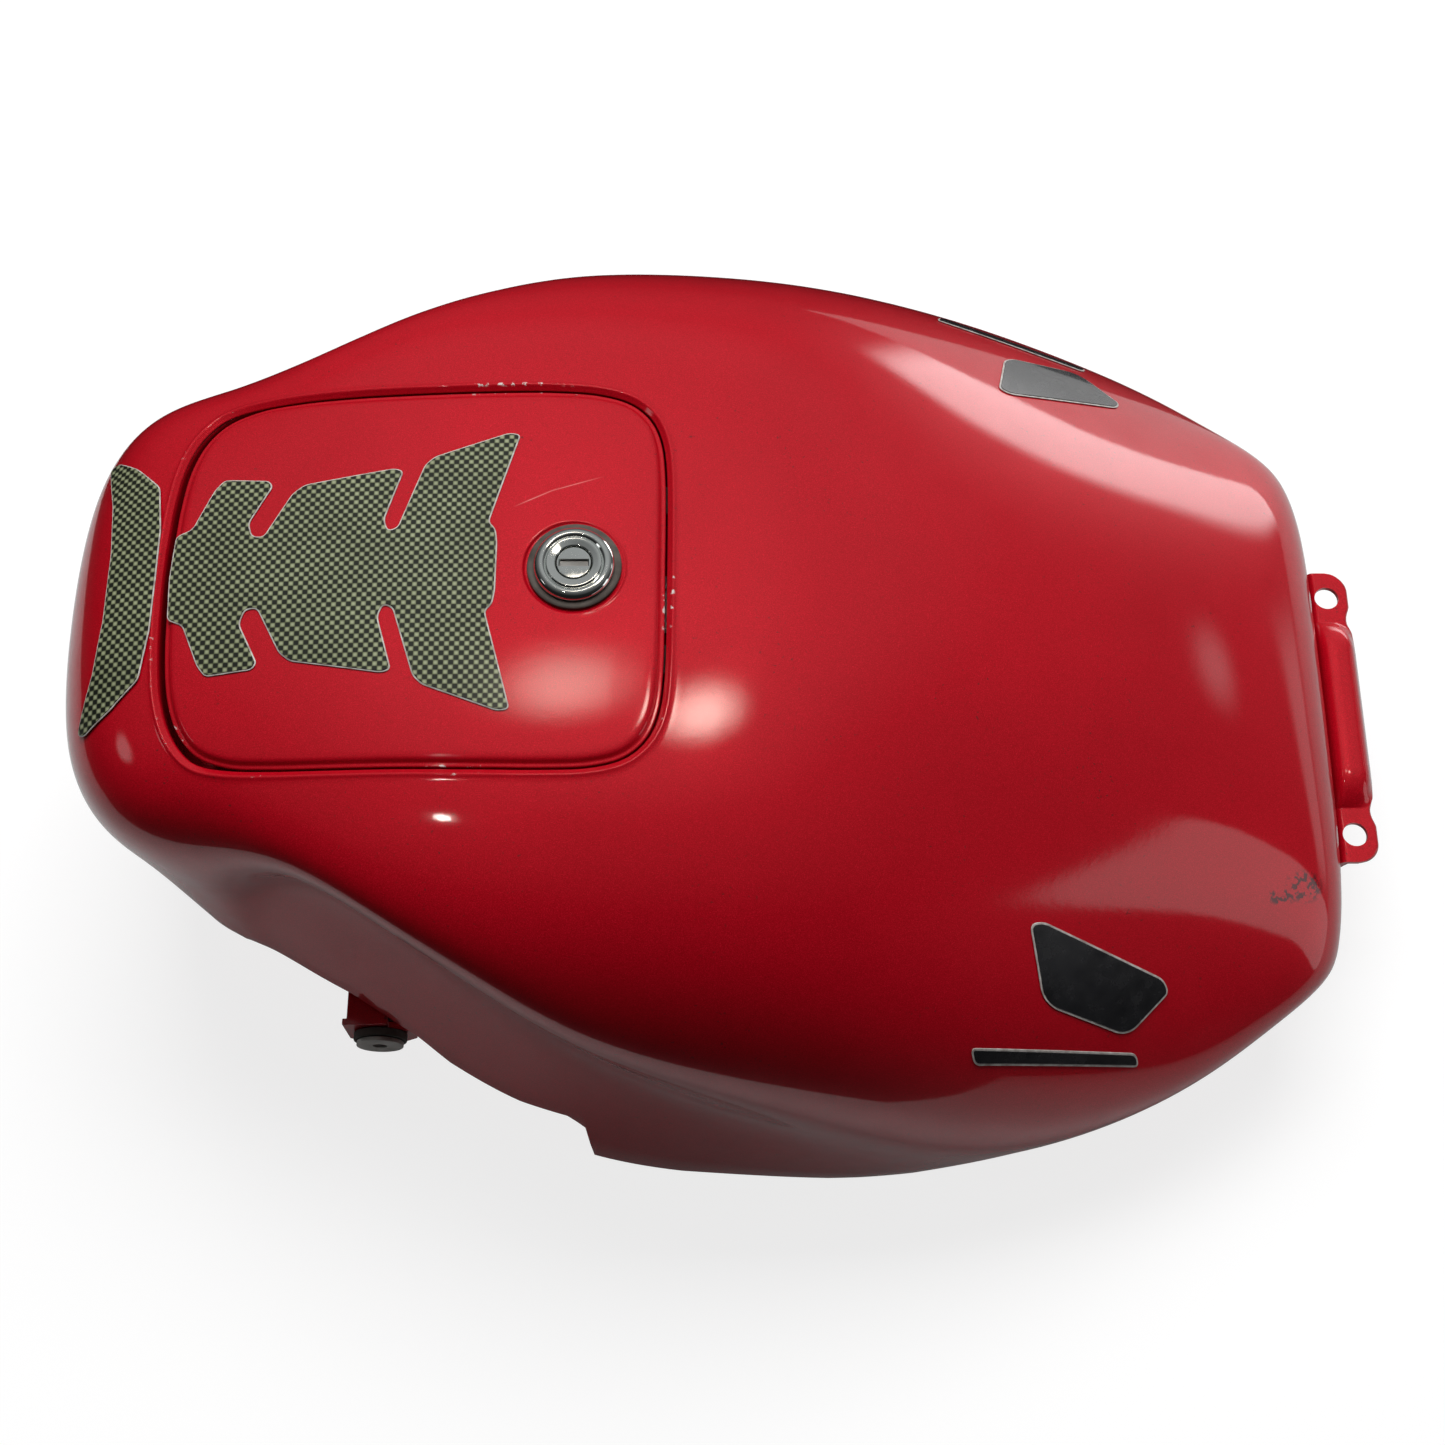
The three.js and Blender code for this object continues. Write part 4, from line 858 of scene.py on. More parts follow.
# ------------------------------------------------------------------ flap
# The folded edge of the flap, in the same terms as LIP.
FLAP_EDGE = [(-7.5, 0.0), (-6.0, -0.03), (-5.2, -0.22), (-4.6, -0.62), (-4.15, -1.12),
             (-3.8, -1.5), (-3.4, -1.74), (-2.9, -1.80), (-2.4, -1.76), (-2.0, -1.82),
             (-1.72, -2.05), (-1.55, -2.4), (-1.5, -3.0), (-1.5, -5.3), (-1.62, -5.75),
             (-2.0, -6.0), (-2.5, -6.0), (-2.88, -5.75), (-3.0, -5.3), (-3.05, -3.9),
             (-3.6, -3.35), (-4.8, -2.6), (-6.2, -1.85), (-8.0, -1.6)]
FLAP_WORN = {(-2.4, -1.76): 0.7, (-2.0, -1.82): 1.0, (-1.72, -2.05): 1.0}
SEAT_DEPTH = 0.9                # how far the seat of the lock lies below the flap
FLAP_RING = -9.0                # where the rings of the flap's face end, from its outline
LOCK_RING = 27.0                # radius of the ring about the lock where they begin


def circle(centre, radius, count=SPOKES):
    """Clockwise circle that starts at the rear, like the flap outline."""
    t = math.pi - np.arange(count) * 2 * math.pi / count
    return np.stack([centre[0] + radius * np.cos(t), centre[1] + radius * np.sin(t)], axis=1)


def build_flap():
    def flat_ring(radius, z, blend):
        p = draped(circle(LOCK, radius), 0.0)
        p[:, 2] = p[:, 2] * (1 - blend) + z * blend
        return p

    far_u, far_v = locate(edge_plan(EVEN, FLAP_RING))
    near_u, near_v = locate(circle(LOCK, LOCK_RING))

    def face_ring(t, lift):
        return lifted(near_u * (1 - t) + far_u * t, near_v * (1 - t) + far_v * t,
                      np.full(SPOKES, lift))

    seat = FLAP_TOP - SEAT_DEPTH
    under = FLAP_TOP - SHEET - 0.9
    # from the hole under the sheet, up through it, over the top and round the folded edge
    shell = Rings()
    marks = []
    for radius, z, blend in [(24.5, under + 0.5, 0.5), (22.6, under, 1), (10.9, under, 1),
                             (10.6, under + 0.2, 1), (10.6, seat - 0.2, 1), (10.9, seat, 1),
                             (20.6, seat, 1), (21.1, seat + 0.06, 1), (21.5, seat + 0.35, 0.9),
                             (21.8, seat + 0.6, 0.45), (22.2, FLAP_TOP, 0.08), (22.9, 0, 0),
                             (24.5, 0, 0)]:
        shell.add(flat_ring(radius, z, blend))
    for t in np.linspace(0, 1, 66) ** 1.15:
        shell.add(face_ring(t, 0.0))
    for offset, lift in FLAP_EDGE:
        ring = draped(lip_plan(EVEN, offset), lift)
        shell.add(ring)
        if (offset, lift) in FLAP_WORN:
            marks.append((ring, FLAP_WORN[(offset, lift)]))
    for t in np.linspace(1, 0, 34):
        shell.add(face_ring(t, -SHEET))
    obj = make_piece("flap_pressing", *shell.close(), PAINT, "flap_panel", crease=60)
    mark_edges(obj, marks)


def build_flap_inner():
    """Stiffener under the flap with two pressed beads."""
    far_u, far_v = locate(edge_plan(EVEN, FLAP_RING))
    near_u, near_v = locate(circle(LOCK, 11.0))
    top, bottom = -SHEET - 0.35, -SHEET - 1.55
    shares = np.linspace(0, 1, 60)
    shell = Rings()
    for t, lift in [(t, top) for t in shares] + [(t, bottom) for t in shares[::-1]]:
        bead = math.exp(-((t - 0.80) / 0.045) ** 2) + 0.8 * math.exp(-((t - 0.3) / 0.05) ** 2)
        shell.add(lifted(near_u * (1 - t) + far_u * t, near_v * (1 - t) + far_v * t,
                         np.full(SPOKES, lift - 1.6 * bead)))
    make_piece("flap_stiffener", *shell.close(), PAINT, "flap_inner")


# ------------------------------------------------------------------ filler well
WALL_IN, WALL_OUT = 1.7, 3.2    # faces of the well's wall, out from the flap's outline
BEND_IN, BEND_OUT = 7.0, 8.5    # radii of the bend from the wall to the floor
NECK_HOLE = 25.6                # radius of the hole for the filler neck
HANG = -4.4                     # height from the skin at which the walls leave their flange


def build_well():
    shell = Rings()
    floor = WELL_FLOOR + SHEET

    def hang(pairs):
        for offset, lift in pairs:
            shell.add(draped(edge_plan(EVEN, offset), lift))

    def wall(offset, shares, low):
        for share in shares:
            ring = draped(edge_plan(EVEN, offset), HANG)
            ring[:, 2] = ring[:, 2] * (1 - share) + low * share
            shell.add(ring)

    def bend(offset, radius, low, turns):
        for t in turns:
            xy = edge_plan(EVEN, offset - radius * (1 - math.cos(t)))
            z = low + radius * (1 - math.sin(t))
            shell.add(np.column_stack([xy, np.full(SPOKES, z)]))

    def level(outline, z, shares):
        hole = circle(FILLER, NECK_HOLE)
        for t in shares:
            xy = outline * (1 - t) + hole * t
            shell.add(np.column_stack([xy, np.full(SPOKES, z)]))

    hang([(8.4, -3.3), (8.3, -2.75), (7.8, -2.62), (3.2, -2.62), (2.2, -2.7), (1.8, -3.1),
          (1.7, -3.8)])
    wall(WALL_IN, np.linspace(0, 1, 13), floor + BEND_IN)
    bend(WALL_IN, BEND_IN, floor, np.linspace(0, math.pi / 2, 8)[1:])
    level(edge_plan(EVEN, WALL_IN - BEND_IN), floor, np.linspace(0, 1, 34)[1:])
    level(edge_plan(EVEN, WALL_OUT - BEND_OUT), WELL_FLOOR, np.linspace(1, 0, 12))
    bend(WALL_OUT, BEND_OUT, WELL_FLOOR, np.linspace(math.pi / 2, 0, 6)[1:])
    wall(WALL_OUT, np.linspace(1, 0, 10)[1:], WELL_FLOOR + BEND_OUT)
    hang([(3.6, -4.15), (7.9, -4.1), (8.4, -3.8)])
    well = make_piece("well_pressing", *shell.close(), PAINT, "filler_well")
    drain = cylinder((*DRAIN, 0), 3.6, WELL_FLOOR - 4, floor + 4, sides=32)
    carve(well, [drain])


# ------------------------------------------------------------------ draped plates
def inset(loop, distance):
    return loop - outward(loop) * distance


def clockwise(loop):
    area = np.sum(loop[:, 0] * np.roll(loop[:, 1], -1) - np.roll(loop[:, 0], -1) * loop[:, 1])
    return loop if area < 0 else loop[::-1]


def plan_loop(points, corner, spacing):
    """Outline in plan with rounded corners, evenly resampled."""
    n = len(points)
    result = []
    for i in range(n):
        here = points[i]
        back, ahead = points[i - 1] - here, points[(i + 1) % n] - here
        reach = min(corner, 0.48 * np.linalg.norm(back), 0.48 * np.linalg.norm(ahead))
        a, b = here + unit(back) * reach, here + unit(ahead) * reach
        for s in np.linspace(0, 1, 7):
            result.append((1 - s) ** 2 * a + 2 * s * (1 - s) * here + s ** 2 * b)
    result = clockwise(np.array(result))
    length = np.linalg.norm(np.roll(result, -1, axis=0) - result, axis=1).sum()
    return resampled(result, int(length / spacing))


def plate(name, loop, lift, thickness, look, node):
    """Thin plate that follows the skin inside an outline, with a softened upper edge."""
    spacing = 2.2
    soft = min(0.16, thickness * 0.4)
    rim = inset(loop, soft)
    low, high = rim.min(axis=0), rim.max(axis=0)
    inner = []
    for x in np.arange(low[0] + spacing / 2, high[0], spacing):
        for y in np.arange(low[1] + spacing / 2, high[1], spacing):
            inner.append((x, y))
    inner = np.array(inner)
    gap = np.linalg.norm(inner[:, None, :] - rim[None, :, :], axis=2).min(axis=1)
    inner = inner[(gap > spacing * 0.45) & inside_loop(inner, rim)]
    cloud = [Vector(p) for p in np.vstack([rim, inner])]
    n = len(rim)
    border = [(k, (k + 1) % n) for k in range(n)]
    made = geometry.delaunay_2d_cdt(cloud, border, [list(range(n))], 1, 1e-6)
    spots = np.array([tuple(p) for p in made[0]])
    triangles = [tuple(face) for face in made[2]]
    flipped = []
    for face in triangles:
        p, q, r = spots[face[0]], spots[face[1]], spots[face[2]]
        turn = (q[0] - p[0]) * (r[1] - p[1]) - (q[1] - p[1]) * (r[0] - p[0])
        flipped.append(face if turn > 0 else tuple(reversed(face)))
    count = len(spots)
    top = draped(spots, lift + thickness)
    edge_high = draped(loop, lift + thickness - soft)
    edge_low = draped(loop, lift)
    bottom = draped(spots, lift)
    order = [int(np.argmin(np.linalg.norm(spots - p, axis=1))) for p in rim]
    ring_high = list(range(count, count + n))
    ring_low = list(range(count + n, count + 2 * n))
    base = count + 2 * n
    faces = list(flipped)
    faces += [tuple(k + base for k in reversed(face)) for face in flipped]
    faces += strip(ring_high, order)
    faces += strip(ring_low, ring_high)
    faces += strip([k + base for k in order], ring_low)
    points = np.vstack([top, edge_high, edge_low, bottom])
    make_piece(name, points, faces, look, node, crease=30)


def inside_loop(spots, loop):
    x, y = spots[:, 0][:, None], spots[:, 1][:, None]
    ax, ay = loop[:, 0][None], loop[:, 1][None]
    bx, by = np.roll(loop[:, 0], -1)[None], np.roll(loop[:, 1], -1)[None]
    crosses = (ay > y) != (by > y)
    safe = np.where(by == ay, 1e-12, by - ay)
    hit = x < (bx - ax) * (y - ay) / safe + ax
    return (np.sum(crosses & hit, axis=1) % 2) == 1


def build_plates():
    for name, half, lift in [("pad_main", PAD_MAIN_HALF, 0.35), ("pad_rear", PAD_REAR_HALF, 0.9)]:
        loop = plan_loop(mirrored(half), 2.2, 0.8)
        plate(f"{name}_film", loop, lift, 0.3, PAD_FILM, name)
        plate(f"{name}_print", inset(loop, 0.55), lift + 0.31, 0.29, CARBON, name)
    for side, sign in [("left", 1), ("right", -1)]:
        for name, outline, corner in [("emblem", EMBLEM, 6.0), ("emblem_bar", EMBLEM_BAR, 2.5)]:
            points = np.array(outline, float) * [1, sign]
            loop = plan_loop(points, corner, 0.8)
            node = f"{name}_{side}"
            plate(f"{node}_film", loop, 0.35, 0.3, BADGE_FILM, node)
            plate(f"{node}_face", inset(loop, 0.8), 0.66, 0.29, BADGE, node)


# ------------------------------------------------------------------ lock
def build_lock():
    seat = FLAP_TOP - SEAT_DEPTH
    x, y = LOCK
    turned("lock_seat_ring", [[11, seat + 0.02], [20, seat + 0.02], [20.1, FLAP_TOP + 0.7],
                              [19.2, FLAP_TOP + 1.3], [11, FLAP_TOP + 1.3]],
           (x, y, 0), RUBBER, "lock_gasket", radius=0.45, sides=128)
    profile = [[7.8, 1.6], [16.6, 1.6], [17.15, 2.1], [17.1, 2.9], [16.6, 3.8], [15.8, 4.5],
               [14.9, 4.95], [14.0, 5.15], [13.2, 5.0], [12.6, 4.55], [12.25, 4.3], [12.0, 4.6],
               [11.6, 4.98], [11.1, 5.05], [10.3, 4.9], [8.7, 4.5], [8.1, 4.35], [7.8, 4.0]]
    turned("lock_bezel_ring", [[r, FLAP_TOP + h] for r, h in profile], (x, y, 0), CHROME,
           "lock_bezel", radius=0.3, sides=128, crease=60)
    points, faces = lathe(rounded([[0, FLAP_TOP - 3.5], [7.3, FLAP_TOP - 3.5],
                                   [7.3, FLAP_TOP + 4], [0, FLAP_TOP + 4]], 0.35), (x, y, 0), 96)
    core = make_piece("lock_plug_core", points, faces, CHROME, "lock_plug")
    slot_box = box_shape((x - 6.4, -1.7, FLAP_TOP - 0.6), (x + 6.4, 1.7, FLAP_TOP + 6))
    carve(core, [slot_box])
    stem = cylinder((x, y, 0), 4.5, 206.9, FLAP_TOP - 3.2, sides=48)
    tip = cylinder((x, y, 0), 3.0, 198.5, 207.5, sides=48)
    carve(core, [stem, tip], "UNION")
    add_bevel(core, 0.12, 40)
    refined("key_shutter", "key_shutter_plate", ALLOY, 0.12)
    refined("lock_body", "lock_barrel", STEEL, 0.25)
    refined("lock_nut", "lock_hex_nut", STEEL, 0.5)
    refined("lock_cam", "lock_cam_plate", STEEL, 0.3)
    refined("cam_nut", "lock_cam_nut", STEEL, 0.4)


# ------------------------------------------------------------------ filler neck and cap
def build_filler():
    x, y = FILLER
    z = WELL_FLOOR + SHEET
    turned("neck_tube", [[22, 150], [25, 150], [25, z + 0.35], [34, z + 0.35], [34, z + 2.2],
                         [25.6, z + 2.2], [25, z + 2.8], [25, 196.5], [28, 196.5], [28, 199],
                         [22, 199]], (x, y, 0), STEEL, "filler_neck", radius=0.5)
    turned("neck_collar", [[26, 199.35], [28, 199.35], [28, 207], [21.8, 207], [21.8, 204.5],
                           [26, 204.5]], (x, y, 0), ALLOY, "neck_ring", radius=0.5)
    turned("cap_seal", [[21, 207.35], [27.6, 207.35], [27.6, 209], [21, 209]], (x, y, 0),
           RUBBER, "cap_gasket", radius=0.5)
    turned("cap_core_plug", [[0, 190], [8, 190], [8, 197], [20.5, 197], [20.5, 205], [8, 205],
                             [8, 211], [0, 211]], (x, y, 0), PLASTIC, "cap_plug", radius=0.7)

    def scallops(t):
        return 1 - 0.016 * max(0.0, math.cos(18 * t)) ** 2

    profile = [[8.4, 209.35], [31.4, 209.35], [31.4, 203], [33, 203], [33, 211.4], [31.2, 213],
               [0, 213], [0, 211.4], [8.4, 211.4]]
    points, faces = lathe(rounded(profile, 0.7), (x, y, 0), 216, "Z", scallops)
    shell = make_piece("cap_cover", points, faces, PLASTIC, "cap_shell")
    carve(shell, [grip_bar(x, y, 52, 11, 212.2, 221)], "UNION")


def grip_bar(x, y, width, depth, low, high):
    """Long rounded bar with a crowned top."""
    def ring(shrink, z):
        half_w, half_d = width / 2 - shrink, depth / 2 - shrink
        r = min(4.0, half_d - 0.05)
        loop = []
        for sx, sy, start in [(1, 1, 0), (-1, 1, 90), (-1, -1, 180), (1, -1, 270)]:
            for t in np.linspace(0, 90, 9):
                a = math.radians(start + t)
                loop.append((x + sx * (half_w - r) + r * math.cos(a),
                             y + sy * (half_d - r) + r * math.sin(a), z))
        return loop

    rings = [ring(0, low), ring(0, high - 1.6), ring(0.25, high - 0.8), ring(0.8, high - 0.25),
             ring(1.6, high)]
    n = len(rings[0])
    points = [p for r in rings for p in r]
    faces = [tuple(reversed(range(n))), tuple(range(4 * n, 5 * n))]
    for k in range(4):
        for i in range(n):
            a, b = k * n + i, k * n + (i + 1) % n
            faces.append((a, b, b + n, a + n))
    return points, faces


# ------------------------------------------------------------------ front bracket
WEB_FLAT = 32                   # half length of the full-height part of the web
WEB_RUN = 17.5                  # length over which it comes down to an ear
EAR_START = 300.0               # back edge of the part of an ear that is trimmed
EAR_TIP = 316.8                 # front of the ears
EAR_ROUND = 67                  # distance from the middle where the rounding begins
EAR_RADIUS = 10
DIP = (44, 58)                  # where the front edge dips between the web and an ear
BRACKET_HALF = 1.25             # half the thickness of the bracket


def build_bracket():
    """Pressed strip with two eared ends and a rolled web between them."""
    ear = np.array([[278, 81.1], [292, 81.1], [297.4, 81.1], [299.4, 82.6], [300.4, 86.4],
                    [301.6, 88.0], [304, 88.3], [310, 88.3], [316.7, 88.3]])
    web = np.array([[278, 81.1], [292, 81.1], [297.4, 81.1], [299.0, 85.2], [300.2, 91.6],
                    [302.8, 95.0], [307.6, 95.9], [313.8, 94.4], [317.6, 87.0]])

    def easy(line):
        """Catmull-Rom line through the points."""
        loop = []
        for i in range(len(line) - 1):
            p = [line[max(i - 1, 0)], line[i], line[i + 1], line[min(i + 2, len(line) - 1)]]
            for t in np.linspace(0, 1, 9, endpoint=False):
                a = -t + 2 * t * t - t ** 3
                b = 2 - 5 * t * t + 3 * t ** 3
                c = t + 4 * t * t - 3 * t ** 3
                d = -t * t + t ** 3
                loop.append((a * p[0] + b * p[1] + c * p[2] + d * p[3]) / 2)
        loop.append(line[-1])
        return np.array(loop)

    ear_line, web_line = easy(ear), easy(web)
    sections = []
    steps = np.concatenate([np.linspace(0, 30, 6), np.linspace(32, 48.6, 22),
                            [49.1, 49.5, 50, 51], np.linspace(53, 66, 8),
                            np.linspace(67, 77, 18)])
    ys = np.concatenate([-steps[:0:-1], steps])
    for yv in ys:
        a = abs(yv)
        w = 1 - (np.clip(a - WEB_FLAT, 0, WEB_RUN) / WEB_RUN) ** 2
        line = ear_line * (1 - w) + web_line * w
        tip = EAR_TIP
        if a > EAR_ROUND:
            part = (a - EAR_ROUND) / (EAR_RADIUS + 0.01)
            tip -= EAR_RADIUS * (1 - math.sqrt(max(0, 1 - part ** 2)))
        if DIP[0] < a < DIP[1]:
            tip -= 2.0 * math.sin(math.pi * (a - DIP[0]) / (DIP[1] - DIP[0]))
        x = line[:, 0]
        scale = (tip - EAR_START) / (line[-1, 0] - EAR_START)
        ahead = x > EAR_START
        line = line.copy()
        line[ahead, 0] = EAR_START + (x[ahead] - EAR_START) * (scale * (1 - w) + w)
        tangent = unit(np.gradient(line, axis=0))
        normal = np.stack([-tangent[:, 1], tangent[:, 0]], axis=1)
        upper, lower = line + normal * BRACKET_HALF, line - normal * BRACKET_HALF
        nose = line[-1] + tangent[-1] * 1.1
        tail = line[0] - tangent[0] * 0.9
        section = np.vstack([upper, [upper[-1] * 0.3 + nose * 0.7], [nose],
                             [lower[-1] * 0.3 + nose * 0.7], lower[::-1], [tail]])
        sections.append(np.column_stack([section[:, 0], np.full(len(section), yv),
                                         section[:, 1]]))
    n = len(sections[0])
    points = np.vstack(sections)
    faces = [tuple(range(n)), tuple(reversed(range((len(ys) - 1) * n, len(ys) * n)))]
    for k in range(len(ys) - 1):
        for i in range(n):
            a, b = k * n + i, k * n + (i + 1) % n
            faces.append((a, b, b + n, a + n))
    bracket = make_piece("mount_bracket", points, faces, PAINT, "front_bracket",
                         crease=50)
    hx, hy, r = EAR_HOLE
    holes = [cylinder((hx, s * hy, 0), r, 70, 110) for s in (1, -1)]
    carve(bracket, holes, crease=50)
    add_bevel(bracket, 0.35, 55)


# ------------------------------------------------------------------ side lugs
def build_side_lugs():
    x, y, z = LUG
    for side, sign in [("left", 1), ("right", -1)]:
        def across(pairs):
            return [[r, sign * h] for r, h in pairs]

        turned(f"grommet_{side}", across([
            [5.2, y - 4], [11.5, y - 4], [11.5, y - 0.35], [8, y - 0.35], [8, y + 3.35],
            [12.5, y + 3.35], [12.5, y + 7], [5.2, y + 7]]), (x, 0, z), RUBBER,
            f"side_grommet_{side}", radius=0.6, axis="Y", sides=72)
        turned(f"collar_{side}", across([
            [3.3, y - 4], [4.8, y - 4], [4.8, y + 7.35], [11, y + 7.35], [11, y + 9.4],
            [3.3, y + 9.4]]), (x, 0, z), ALLOY, f"side_collar_{side}",
            radius=0.3, axis="Y", sides=72)
        refined(f"side_lug_{side}", f"lug_plate_{side}", PAINT, 0.5)


# ------------------------------------------------------------------ remaining fittings
# Radius of the rounded edges of each node.
STEEL_FITTINGS = {
    "hinge_arm_left": 0.35, "hinge_arm_right": 0.35, "hinge_pin": 0.5, "hinge_bracket": 0.4,
    "hinge_screw_left": 0.5, "hinge_screw_right": 0.5, "striker_plate": 0.35,
    "drain_tube": 0.3, "breather_tube": 0.3, "baffle": 0.2, "tap_screw_rear": 0.5,
    "tap_screw_front": 0.5, "sender_plate": 0.4, "sender_screw_1": 0.35, "sender_screw_2": 0.35,
    "sender_screw_3": 0.35, "sender_screw_4": 0.35, "float_arm": 0.3, "return_nipple": 0.3,
}
OTHER_FITTINGS = {
    "flap_buffer_left": (RUBBER, 1.0), "flap_buffer_right": (RUBBER, 1.0),
    "tap_gasket": (RUBBER, 0.3), "sender_gasket": (RUBBER, 0.3),
    "tap_body": (ALLOY, 0.8), "tap_strainer": (PLASTIC, 0.3),
    "tap_lever": (PLASTIC, 0.8), "float": (PLASTIC, 1.2),
}


def build_fittings():
    for node, width in STEEL_FITTINGS.items():
        refined(node, f"{node}_part", STEEL, width)
    for node, (look, width) in OTHER_FITTINGS.items():
        refined(node, f"{node}_part", look, width)
    refined("base_pan", "pan_pressing", PAINT, 0, angle=50)


build_skin()
build_flap()
build_flap_inner()
build_well()
build_plates()
build_lock()
build_filler()
build_bracket()
build_side_lugs()
build_fittings()


# ------------------------------------------------------------------ floor, light and camera
def link_stage(name, mesh, seen):
    """Stage object; seen names the kinds of ray that meet it."""
    obj = link_object(name, mesh)
    obj.visible_camera = "camera" in seen
    obj.visible_glossy = "glossy" in seen
    obj.visible_diffuse = "diffuse" in seen
    obj.visible_transmission = False
    obj.visible_volume_scatter = False
    obj.visible_shadow = False
    return obj


def stage_sheet(name, outline, z, shade, glow, seen):
    """Level sheet with a matt surface that also glows a little."""
    mesh = bpy.data.meshes.new(name)
    mesh.from_pydata([(x, y, z) for x, y in outline], [], [tuple(range(len(outline)))])
    made = Shader(f"{name}_surface", Roughness=0.9, Emission_Strength=glow,
                  Emission_Color=(1, 1, 1, 1), Specular_IOR_Level=0.1)
    dark = (0.985 * shade,) * 3
    made.set(Base_Color=made.ramp(made.noise(3, 2.0), (0.3, dark), (0.7, (shade,) * 3)))
    mesh.materials.append(made.material)
    link_stage(name, mesh, seen)


def backdrop(radius, level):
    """Pale dome that only the camera sees."""
    mesh = bpy.data.meshes.new("backdrop")
    dome = bmesh.new()
    bmesh.ops.create_uvsphere(dome, u_segments=48, v_segments=24, radius=radius)
    dome.to_mesh(mesh)
    dome.free()
    made = Shader("backdrop_surface", Base_Color=(0, 0, 0, 1), Emission_Strength=1.0,
                  Specular_IOR_Level=0.0)
    fade = made.ramp(made.noise(0.2, 1.0), (0.3, (level,) * 3), (0.7, (1.01 * level,) * 3))
    made.set(Emission_Color=fade)
    mesh.materials.append(made.material)
    link_stage("backdrop", mesh, ("camera",))


def soft_card(name, centre, across, up, level, colour=(1, 1, 1), core=0.0, power=6):
    """Glowing card with a soft rim that shows only in reflections."""
    centre, across, up = Vector(centre), Vector(across), Vector(up)
    mesh = bpy.data.meshes.new(name)
    mesh.from_pydata([(-1, -1, 0), (1, -1, 0), (1, 1, 0), (-1, 1, 0)], [], [(0, 1, 2, 3)])
    made = Shader(f"{name}_surface", Base_Color=(0, 0, 0, 1), Specular_IOR_Level=0.0,
                  Emission_Color=(*colour, 1))
    split = made.node("ShaderNodeSeparateXYZ", {0: made.place})
    raised = [made.math("POWER", made.math("ABSOLUTE", split.outputs[axis]), power)
              for axis in ("X", "Y")]
    away = made.math("POWER", made.math("ADD", raised[0], raised[1]), 1 / power)
    reach = made.spread(away, core, 0.98, 1.0, 0.0, interpolation_type="SMOOTHERSTEP")
    made.set(Emission_Strength=made.math("MULTIPLY", reach, level), Alpha=reach)
    mesh.materials.append(made.material)
    obj = link_stage(name, mesh, ("glossy",))
    facing = across.cross(up).normalized()
    columns = [across, up, facing, centre]
    obj.matrix_world = Matrix([[c[i] for c in columns] for i in range(3)] + [[0, 0, 0, 1]])


def area_light(name, size, location, target, power, colour=(1, 1, 1), glossy=True):
    data = bpy.data.lights.new(name, "AREA")
    data.shape = "RECTANGLE"
    data.size, data.size_y = size
    data.energy = power
    data.color = colour
    obj = link_object(name, data)
    obj.location = location
    obj.visible_glossy = glossy
    aim = Vector(target) - Vector(location)
    obj.rotation_euler = aim.to_track_quat("-Z", "Y").to_euler()


FLOOR = [(-12, -12), (12, -12), (12, 12), (-12, 12)]
BENCH = [(-1.3, -0.43), (0.12, -0.43), (0.3, -0.62), (2.0, -2.6), (3.2, -2.6), (3.2, 1.2),
         (0.3, 1.2), (0.3, 0.24), (-1.3, 0.24)]
WARM = (1.0, 0.88, 0.77)
# Light from all round, by the cosine of its direction with SKY_AXIS.
SKY_AXIS = (0.1, 0.6, 0.8)
SKY = [(0.0, 0.010), (0.35, 0.03), (0.62, 0.11), (0.75, 0.14), (0.88, 0.30), (1.0, 0.34)]
CAMERA_PLACE = (-0.01015, -0.4162, 1.0432)
CAMERA_TILT = 23
CAMERA_LENS = 53.56

stage_sheet("floor", FLOOR, 0.0, 0.22, 0.80, ("camera",))
stage_sheet("bench", BENCH, -0.001, 0.44, 0.09, ("glossy", "diffuse"))
backdrop(14, 0.82)

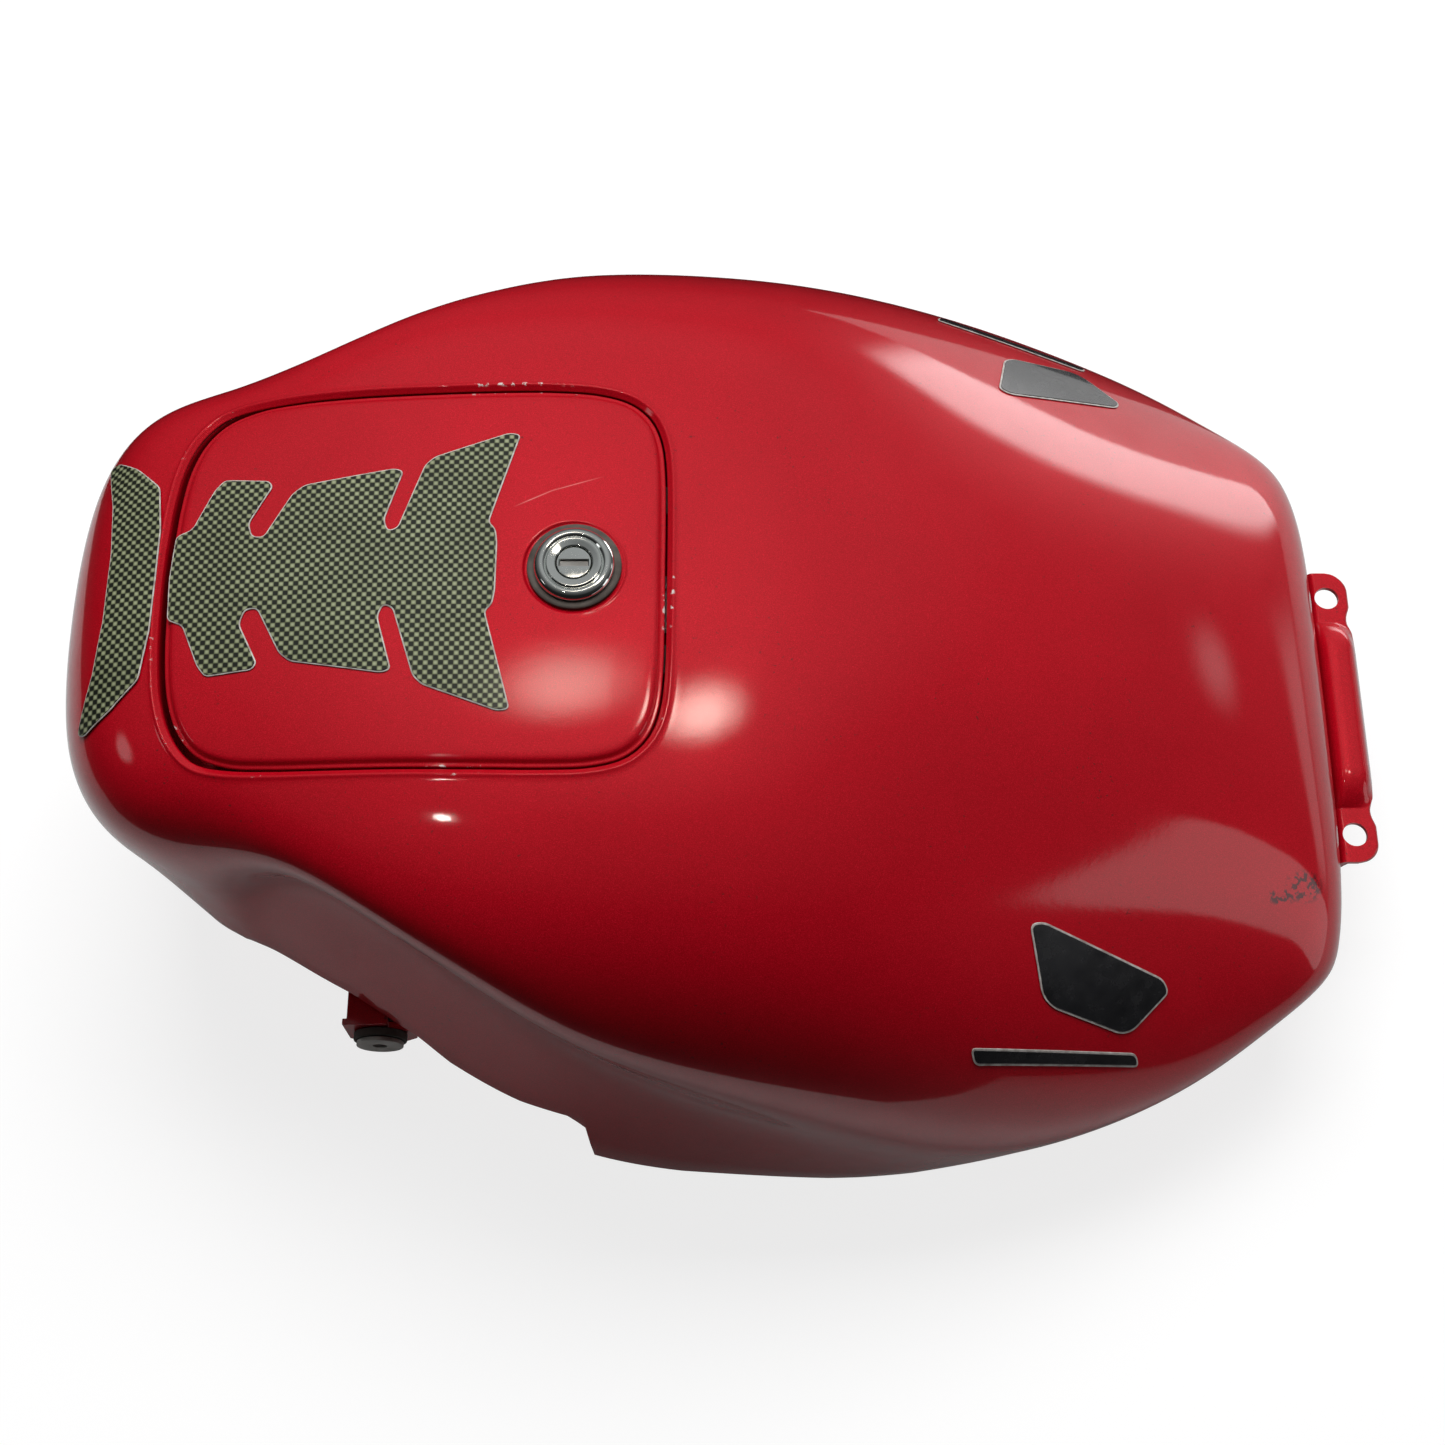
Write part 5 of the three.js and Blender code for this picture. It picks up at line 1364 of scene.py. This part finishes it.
area_light("key", (1.7, 1.2), (0.0, 1.05, 2.1), (0, 0, 0.1), 66, glossy=False)
area_light("lamp", (0.05, 0.035), (-0.48, -0.25, 2.0), (0, 0, 0.2), 0.4, (1.0, 0.95, 0.88))
soft_card("lamp_glow", (0.43, 0.36, 2.0), (0.34, 0.04, 0), (0, -0.26, 0), 15, WARM, power=2)
soft_card("lamp_halo", (-0.08, 0.50, 2.0), (0.50, 0, 0), (0, -0.26, 0), 7, WARM, power=2)
soft_card("front_card", (1.76, -0.46, 0.52), (0.07, 0.30, 0), (0, 0, 0.56), 1.2, core=0.88)
soft_card("nose_card", (1.75, 0.35, 0.22), (-0.22, 0.72, 0), (0, 0, 0.26), 0.9, core=0.3)
soft_card("streak_card", (1.66, 0.64, 0.70), (0.07, -0.34, 0.13), (-0.06, 0.0, 0.11), 1.3,
          power=2)
soft_card("far_card", (1.0, 1.22, 0.04), (0.42, -0.28, 0), (0, 0, 0.30), 4.0, core=0.5)
soft_card("rear_card", (-1.8, -0.25, 1.3), (0, -0.34, 0), (0.16, 0, 0.20), 1.6, core=0.3,
          power=2)

world = bpy.data.worlds.new("studio")
bpy.context.scene.world = world
world.use_nodes = True
sky = world.node_tree
background = sky.nodes["Background"]
toward = sky.nodes.new("ShaderNodeTexCoord")
facing = sky.nodes.new("ShaderNodeVectorMath")
facing.operation = "DOT_PRODUCT"
facing.inputs[1].default_value = SKY_AXIS
shade = sky.nodes.new("ShaderNodeValToRGB")
steps = shade.color_ramp.elements
while len(steps) < len(SKY):
    steps.new(0.5)
for step, (stop, level) in zip(steps, SKY):
    step.position = stop
    step.color = (level * 0.98, level * 0.99, level, 1)
sky.links.new(toward.outputs["Generated"], facing.inputs[0])
sky.links.new(facing.outputs["Value"], shade.inputs["Fac"])
sky.links.new(shade.outputs["Color"], background.inputs["Color"])
bpy.context.scene.view_settings.view_transform = "Standard"

camera_data = bpy.data.cameras.new("camera")
camera_data.lens = CAMERA_LENS
camera_data.sensor_width = 36
camera_data.clip_start = 0.02
camera = link_object("camera", camera_data)
camera.location = CAMERA_PLACE
camera.rotation_euler = (math.radians(CAMERA_TILT), 0, 0)
bpy.context.scene.camera = camera

bpy.context.view_layer.update()
